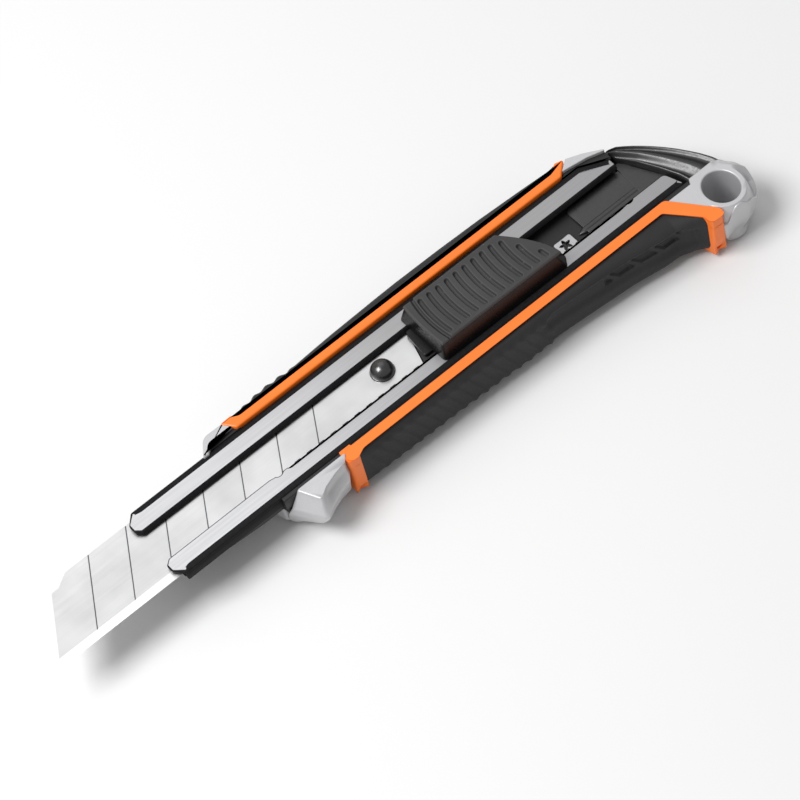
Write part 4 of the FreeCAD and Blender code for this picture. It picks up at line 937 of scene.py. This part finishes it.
def make_rear_corner():
    """Tapering sliver of the housing between the upper band's end and the cap."""
    corners = [
        (44.6, 11.1, 0.2), (51.2, 10.0, 2.0), (55.1, 8.7, 0.2), (55.1, 9.2, 0.2), (51.0, 11.7, 3.0),
        (47.4, 13.3, 0.2),
    ]
    rings = rise(rounded(corners, 0.4), edge_profile(SHELL_LOW[2], HOUSING_TOP, (0.3, 0.3), (0.15, 0.3), 5))
    add_piece("rear_corner_sliver", skin(rings), [coat("silver")], "handle")


def grip_side(x, inner, outer, low, high, under, drop):
    """Cross-sections of a grip at each x, as closed rings: from the inner foot along the underside, round
    the lower edge, up the wall, over the upper edge and across the sloping top to the inner edge.

    inner and outer are the top's inner line and the wall's line, and under and drop are the (inset, rise)
    of the lower rounding and how far the top slopes down to the wall.
    """
    side = np.sign(outer[0])
    foot = side * 9.0
    wall_top = high - drop
    points = [(foot, low)]
    for angle in np.linspace(0, np.pi / 2, 9):
        points.append((outer - side * under[0] * (1 - np.sin(angle)), low + under[1] * (1 - np.cos(angle))))
    for height in np.linspace(low + under[1], wall_top - 0.8, 22)[1:]:
        points.append((outer, height))
    for share in np.linspace(0, 1, 12)[1:]:
        curve = 1 - np.sqrt(1 - 0.98 * (1 - share) ** 2.6)
        points.append((outer + (inner - outer) * share, high - curve * (drop + 0.8) - 0.25 * (1 - share)))
    points.append((inner - side * 0.1, high - 0.6))
    points.append((foot, high - 2.5))
    rings = np.stack([np.stack(np.broadcast_arrays(x, y, z), axis=-1) for y, z in points], axis=1)
    return rings if side < 0 else rings[:, ::-1]


def make_grips():
    """Soft grips, lofted along the handle. The finger side has slanting ribs and a smooth recess behind them
    with slanted windows; the upper grip has shallow waves near its front."""
    sizes = bpy.context.scene.knife_sizes
    pitch = sizes.finger_rib_pitch / MM
    height = sizes.finger_rib_height / MM
    low, high = LOWER_GRIP_LOW[2], LOWER_GRIP_HIGH[2]
    x = np.linspace(-34.05, 58.6, 560)
    stations = [-36, -24, -8, 4, 12, 20, 28, 36, 40, 44, 48, 52, 56, 60]
    wall = [-14.05, -14.2, -14.5, -14.85, -15.25, -15.15, -15.8, -16.5, -16.85, -17.5, -18.2, -18.4, -19.9, -22.6]
    outer = np.interp(x, stations, wall)
    inner = np.interp(x, [-34.1, -33.2, -31.6, 52.3, 58.5, 59], [-14.0, -13.5, -13.12, -13.12, -20.6, -21.6])
    inner = np.maximum(inner, outer + 0.3)
    rings = grip_side(x, inner, outer, low, high, (3.2, 3.2), 1.3)
    x, y, z = rings[..., 0], rings[..., 1], rings[..., 2]
    on_wall = smooth_step((inner[:, None] - 0.5 - y) / 0.5)
    ribbed = smooth_step((x + 32) / 2) * smooth_step((19.5 - x) / 2) * smooth_step((12.6 - z) / 0.5)
    phase = (x + 0.5 * z) / pitch
    ribs = height * (0.5 + 0.5 * np.sin(2 * np.pi * phase)) ** 1.3 * ribbed
    brow = np.interp(x, [14, 19.3, 32.8, 53.1, 58], [9.5, 12.1, 12.3, 12.0, 10])
    recess = smooth_step((x - 14.5) / 3) * smooth_step((58 - x) / 2) * smooth_step((brow - z) / 0.7)
    recess *= smooth_step((z - np.interp(x, [15, 58], [7.5, 4.5])) / 2.5)
    slant = (x - 0.9 * (11 - z) - 37.0) / 5.8
    cell = np.abs(slant - np.round(slant)) * 5.8
    window = smooth_step((2.2 - cell) / 0.35) * smooth_step((1.5 - np.abs(z - 9.9)) / 0.35)
    window *= smooth_step((x - 33) / 1) * smooth_step((53.5 - x) / 1)
    y -= (ribs - 0.75 * recess - 0.6 * window * recess) * on_wall
    add_piece("lower_grip_ribbed", skin(rings), [coat("grip")], "handle", ["lower_grip"], sharp=60)

    low, high = UPPER_GRIP_LOW[2], UPPER_GRIP_HIGH[2]
    x = np.linspace(-47.2, 44.6, 460)
    stations = [-48, -42, -38, -34, -30, -24, -18, -12, -6, 0, 12, 24, 36, 42, 45]
    wall = [13.9, 14.7, 15.2, 15.1, 14.8, 15.2, 15.55, 15.75, 15.95, 16.1, 16.05, 15.75, 15.1, 14.7, 14.3]
    outer = np.interp(x, stations, wall)
    inner = np.interp(x, [-47.2, -45.6, 42.4, 44.8], [13.4, 12.52, 12.52, 14.0])
    rings = grip_side(x, inner, outer, low, high, (2.6, 3.2), 0.9)
    x, y, z = rings[..., 0], rings[..., 1], rings[..., 2]
    bumps = 0.25 * np.cos((x + 40) * 2 * np.pi / 3.4) * smooth_step((x + 47) / 2) * smooth_step((-28 - x) / 3)
    y += bumps * smooth_step((y - 13.6) / 0.8)
    add_piece("upper_grip_smooth", skin(rings), [coat("grip")], "handle", ["upper_grip"], sharp=60)


def make_back_pad():
    """Soft pad on the back: a plate with rounded edges."""
    low, high = REST_PAD_LOW, REST_PAD_HIGH
    corners = [
        (low[0] + 5, low[1], 2), (high[0] - 5, low[1], 2), (high[0], low[1] + 5, 2),
        (high[0], high[1] - 5, 2), (high[0] - 5, high[1], 2), (low[0] + 5, high[1], 2),
        (low[0], high[1] - 5, 2), (low[0], low[1] + 5, 2),
    ]
    rings = rise(rounded(corners, 1.0), edge_profile(low[2], high[2], (0.4, 0.4), (0.05, 0.05), 5))
    add_piece("back_pad_soft", skin(rings), [coat("grip")], "handle", ["back_pad"])


def make_cap():
    """End cap: across from the inner ridge to the outer arc its top dips behind the ridge, swells to a
    broad crown and falls to a narrow rim, all along the arc. Its tongue lies in the guide's window."""
    across, along = np.meshgrid(np.linspace(0, 1, 90), np.linspace(0, 1, 90))
    arc = np.array(
        [[55.4, 9.15], [56.3, 9.15], [58.0, 8.6], [59.55, 7.3], [61.1, 5.85], [62.65, 4.2], [64.15, 2.45],
         [65.6, 0.6], [67.05, -1.5], [68.45, -3.8], [69.8, -6.2], [71.0, -8.9], [71.4, -10.35]]
    )
    ridge = np.array([[55.3, 7.6], [55.7, 6.0], [58.2, 2.05], [60.6, -3.2], [62.3, -7.6], [62.75, -10.3]])
    outer, inner = (
        np.stack([np.interp(along, np.linspace(0, 1, len(line)), column) for column in line.T], axis=-1)
        for line in (arc, ridge)
    )
    plan = inner + (outer - inner) * across[..., None]
    top = CAP_HIGH[2]
    crest = 0.9 * np.exp(-(((across - 0.07) / 0.075) ** 2))
    crown = 1.25 * np.exp(-(((across - 0.5) / 0.2) ** 2))
    rim = 0.75 * np.exp(-(((across - 0.95) / 0.1) ** 2))
    height = top - 1.35 + crest + crown + rim
    height -= 0.5 * np.clip((across - 0.97) / 0.03, 0, 1) ** 2
    height = np.minimum(height, top)
    body = blanket(np.concatenate([plan, height[..., None]], axis=-1), CAP_LOW[2])
    deck = slab([(39.2, -3.9, 0.4), (60.2, -3.9, 0.4), (57.0, 4.3, 0.4), (39.2, 4.3, 1.0)], 10.4, 10.95, 0.15)
    block = slab([(54.0, -4.6, 0.3), (61.2, -4.6, 0.3), (56.2, 5.9, 0.3), (54.6, 5.9, 0.3)], 10.4, 11.05, 0.2)
    run = np.linspace(37.3, 55.6, 60)
    swing = np.linspace(0, 2 * np.pi, 28, endpoint=False)
    fade = np.sin(np.clip((run - 37.3) / 2.6, 0.03, 1) * np.pi / 2)
    fade = fade[:, None]
    ridge_bar = swept(run, -2.4 + 1.0 * np.cos(swing) * fade, 10.5 + 0.57 * np.sin(swing) * fade)
    add_piece(
        "end_cap_arched",
        merged(body, deck, block, ridge_bar),
        [coat("cap")],
        "rear_cap",
        ["end_cap"],
        sharp=50,
    )
    make_clip()


def make_clip():
    """Clip on the tongue's front: a small plate with a star-shaped hole, as rings from the hole's wall
    over the top to the plate's edge."""
    middle = (33.4, -2.7)
    count = 240
    angle = np.linspace(0, 2 * np.pi, count, endpoint=False)
    wheel = np.column_stack([np.cos(angle), np.sin(angle)])
    far = polar(rounded(oblong(31.1, -4.7, 36.0, -0.8, 0.5), 0.5), middle, angle)
    star = np.array([1.5, 0.62] * 5)
    points = np.linspace(0, 2 * np.pi, 10, endpoint=False) + 0.3
    near = np.interp(angle, points, star, period=2 * np.pi)
    layers = [(near, 10.6), (near, 10.97), (near + 0.1, 11.07), (far - 0.2, 11.07), (far, 10.92), (far, 10.6)]
    rings = np.stack(
        [np.column_stack([middle + radius[:, None] * wheel, np.full(count, level)]) for radius, level in layers]
    )
    clip = tube_skin(rings)
    add_piece("cap_clip", clip, [coat("spring")], "rear_cap", ["cap_spring"], sharp=30)


def make_screws():
    """Countersunk screws of the back, each with a cross recess sunk in a domed head. The head is a disc of
    rings and spokes; its height falls where a point is close to either arm of the cross."""
    low, high = SCREWS_LOW, SCREWS_HIGH
    head_radius = 2.4
    columns = (low[0] + head_radius, high[0] - head_radius)
    lines = (low[1] + head_radius, high[1] - head_radius)
    spots = [(x, y) for x in columns for y in lines]
    face = low[2]
    solids = []
    for across, along in spots:
        angle = np.linspace(0, 2 * np.pi, 72, endpoint=False)[::-1]
        radius = np.linspace(0.02, head_radius, 26)
        x = radius[:, None] * np.cos(angle)[None]
        y = radius[:, None] * np.sin(angle)[None]
        arm = np.minimum(np.abs(x), np.abs(y))
        inside = smooth_step((0.34 - arm) / 0.12) * smooth_step((1.35 - radius[:, None]) / 0.25)
        dome = 0.25 * (radius[:, None] / head_radius) ** 2
        z = face + dome + 0.8 * inside
        top = np.stack([x + across, y + along, z], axis=-1)
        wall = [top[-1] + (0, 0, 0.2), top[-1] + (0, 0, 1.2)]
        shank_x, shank_y = 1.25 * np.cos(angle) + across, 1.25 * np.sin(angle) + along
        shank = [np.column_stack([shank_x, shank_y, np.full(72, level)]) for level in (face + 1.6, 9.9)]
        solids.append(skin(np.stack([*top, *wall, *shank])))
    screws = merged(*solids)
    add_piece("body_screw_set", screws, [coat("screw")], "handle", ["body_screws"], sharp=40)


# ---------------------------------------------------------------- stage


def make_stage():
    """Pale floor, soft lights and the camera."""
    scene = bpy.context.scene
    scene.view_settings.view_transform = "Standard"
    mesh = bpy.data.meshes.new("floor")
    half = 2.0
    square = [(-half, -half, 0), (half, -half, 0), (half, half, 0), (-half, half, 0)]
    mesh.from_pydata(square, [], [(0, 1, 2, 3)])
    floor = bpy.data.objects.new("floor", mesh)
    scene.collection.objects.link(floor)
    material, _, shader, _ = new_material("pale_floor")
    shader.inputs["Base Color"].default_value = (0.78, 0.78, 0.78, 1)
    shader.inputs["Roughness"].default_value = 0.9
    mesh.materials.append(material)
    world = bpy.data.worlds.new("soft_room")
    world.use_nodes = True
    background = world.node_tree.nodes["Background"]
    background.inputs["Color"].default_value = (1, 1, 1, 1)
    background.inputs["Strength"].default_value = 0.42
    scene.world = world
    for name, place, size, energy in (
        ("key_light", (-0.45, 0.12, 0.75), 0.45, 7.2),
        ("reflector", (0.27, 0.54, 0.86), 0.8, 1.3),
    ):
        lamp = bpy.data.lights.new(name, "AREA")
        lamp.size = size
        lamp.energy = energy
        light = bpy.data.objects.new(name, lamp)
        light.location = place
        light.rotation_euler = Vector(place).to_track_quat("Z", "Y").to_euler()
        scene.collection.objects.link(light)
    lens = bpy.data.cameras.new("camera")
    lens.lens = 151.6
    lens.clip_end = 10
    camera = bpy.data.objects.new("camera", lens)
    camera.location = (-0.19304, -0.37669, 0.59925)
    camera.rotation_euler = np.radians((33.617, 9.446, -39.264)).tolist()
    scene.collection.objects.link(camera)
    scene.camera = camera


def recoat_frame():
    """Materials of the frame nodes that stay as they are."""
    for node, name in (
        ("blade", "blade"),
        ("blade_carrier", "black"),
        ("lock_spring", "spring"),
        ("spring_rivet", "screw"),
        ("guide_rivets", "screw"),
    ):
        recoat(node, name)


# ---------------------------------------------------------------- add-on


class KnifeOperator:
    """Shared base: runs the operator's makers."""

    bl_options = {"REGISTER", "UNDO"}
    makers = ()

    def execute(self, context):
        for maker in self.makers:
            maker()
        return {"FINISHED"}


class KNIFE_OT_guide(KnifeOperator, bpy.types.Operator):
    """Add the formed blade guide with its scallops"""

    bl_idname = "knife.guide"
    bl_label = "Blade guide"
    makers = (make_guide,)


class KNIFE_OT_carriage(KnifeOperator, bpy.types.Operator):
    """Add the stud, the slider and its ribbed thumb pad"""

    bl_idname = "knife.carriage"
    bl_label = "Blade carriage"
    makers = (make_stud, make_button, make_thumb_pad)


class KNIFE_OT_shells(KnifeOperator, bpy.types.Operator):
    """Add the silver housing: middle, guard, corners and tail"""

    bl_idname = "knife.shells"
    bl_label = "Housing"
    makers = (make_tray, make_shells, make_front_corner, make_guard, make_rear_corner, make_tail)


class KNIFE_OT_trims(KnifeOperator, bpy.types.Operator):
    """Add the orange bands"""

    bl_idname = "knife.trims"
    bl_label = "Bands"
    makers = (make_trims,)


class KNIFE_OT_grips(KnifeOperator, bpy.types.Operator):
    """Add the soft grips and the soft pad on the back"""

    bl_idname = "knife.grips"
    bl_label = "Grips"
    makers = (make_grips, make_back_pad)


class KNIFE_OT_cap(KnifeOperator, bpy.types.Operator):
    """Add the end cap"""

    bl_idname = "knife.cap"
    bl_label = "End cap"
    makers = (make_cap,)


class KNIFE_OT_screws(KnifeOperator, bpy.types.Operator):
    """Add the back's screws"""

    bl_idname = "knife.screws"
    bl_label = "Screws"
    makers = (make_screws,)


class KNIFE_OT_frame_coats(KnifeOperator, bpy.types.Operator):
    """Give the frame's remaining pieces their materials"""

    bl_idname = "knife.frame_coats"
    bl_label = "Frame materials"
    makers = (recoat_frame,)


class KNIFE_OT_stage(KnifeOperator, bpy.types.Operator):
    """Add the floor, the lights and the camera"""

    bl_idname = "knife.stage"
    bl_label = "Stage"
    makers = (make_stage,)


OPERATORS = (
    KNIFE_OT_guide,
    KNIFE_OT_carriage,
    KNIFE_OT_shells,
    KNIFE_OT_trims,
    KNIFE_OT_grips,
    KNIFE_OT_cap,
    KNIFE_OT_screws,
    KNIFE_OT_frame_coats,
    KNIFE_OT_stage,
)


class KNIFE_PT_panel(bpy.types.Panel):
    """Sizes, colours and pieces of the knife"""

    bl_idname = "KNIFE_PT_panel"
    bl_label = "Utility knife"
    bl_space_type = "VIEW_3D"
    bl_region_type = "UI"
    bl_category = "Knife"

    def draw(self, context):
        layout = self.layout
        for settings in (context.scene.knife_sizes, context.scene.knife_colours):
            box = layout.box()
            for name in settings.__annotations__:
                box.prop(settings, name)
        for operator in OPERATORS:
            layout.operator(operator.bl_idname)


CLASSES = (KnifeSizes, KnifeColours, *OPERATORS, KNIFE_PT_panel)


def register():
    for cls in CLASSES:
        bpy.utils.register_class(cls)
    bpy.types.Scene.knife_sizes = bpy.props.PointerProperty(type=KnifeSizes)
    bpy.types.Scene.knife_colours = bpy.props.PointerProperty(type=KnifeColours)


def unregister():
    del bpy.types.Scene.knife_colours
    del bpy.types.Scene.knife_sizes
    for cls in reversed(CLASSES):
        bpy.utils.unregister_class(cls)


def main():
    register()
    bpy.ops.knife.guide()
    bpy.ops.knife.carriage()
    bpy.ops.knife.shells()
    bpy.ops.knife.trims()
    bpy.ops.knife.grips()
    bpy.ops.knife.cap()
    bpy.ops.knife.screws()
    bpy.ops.knife.frame_coats()
    bpy.ops.knife.stage()


if __name__ == "__main__":
    main()
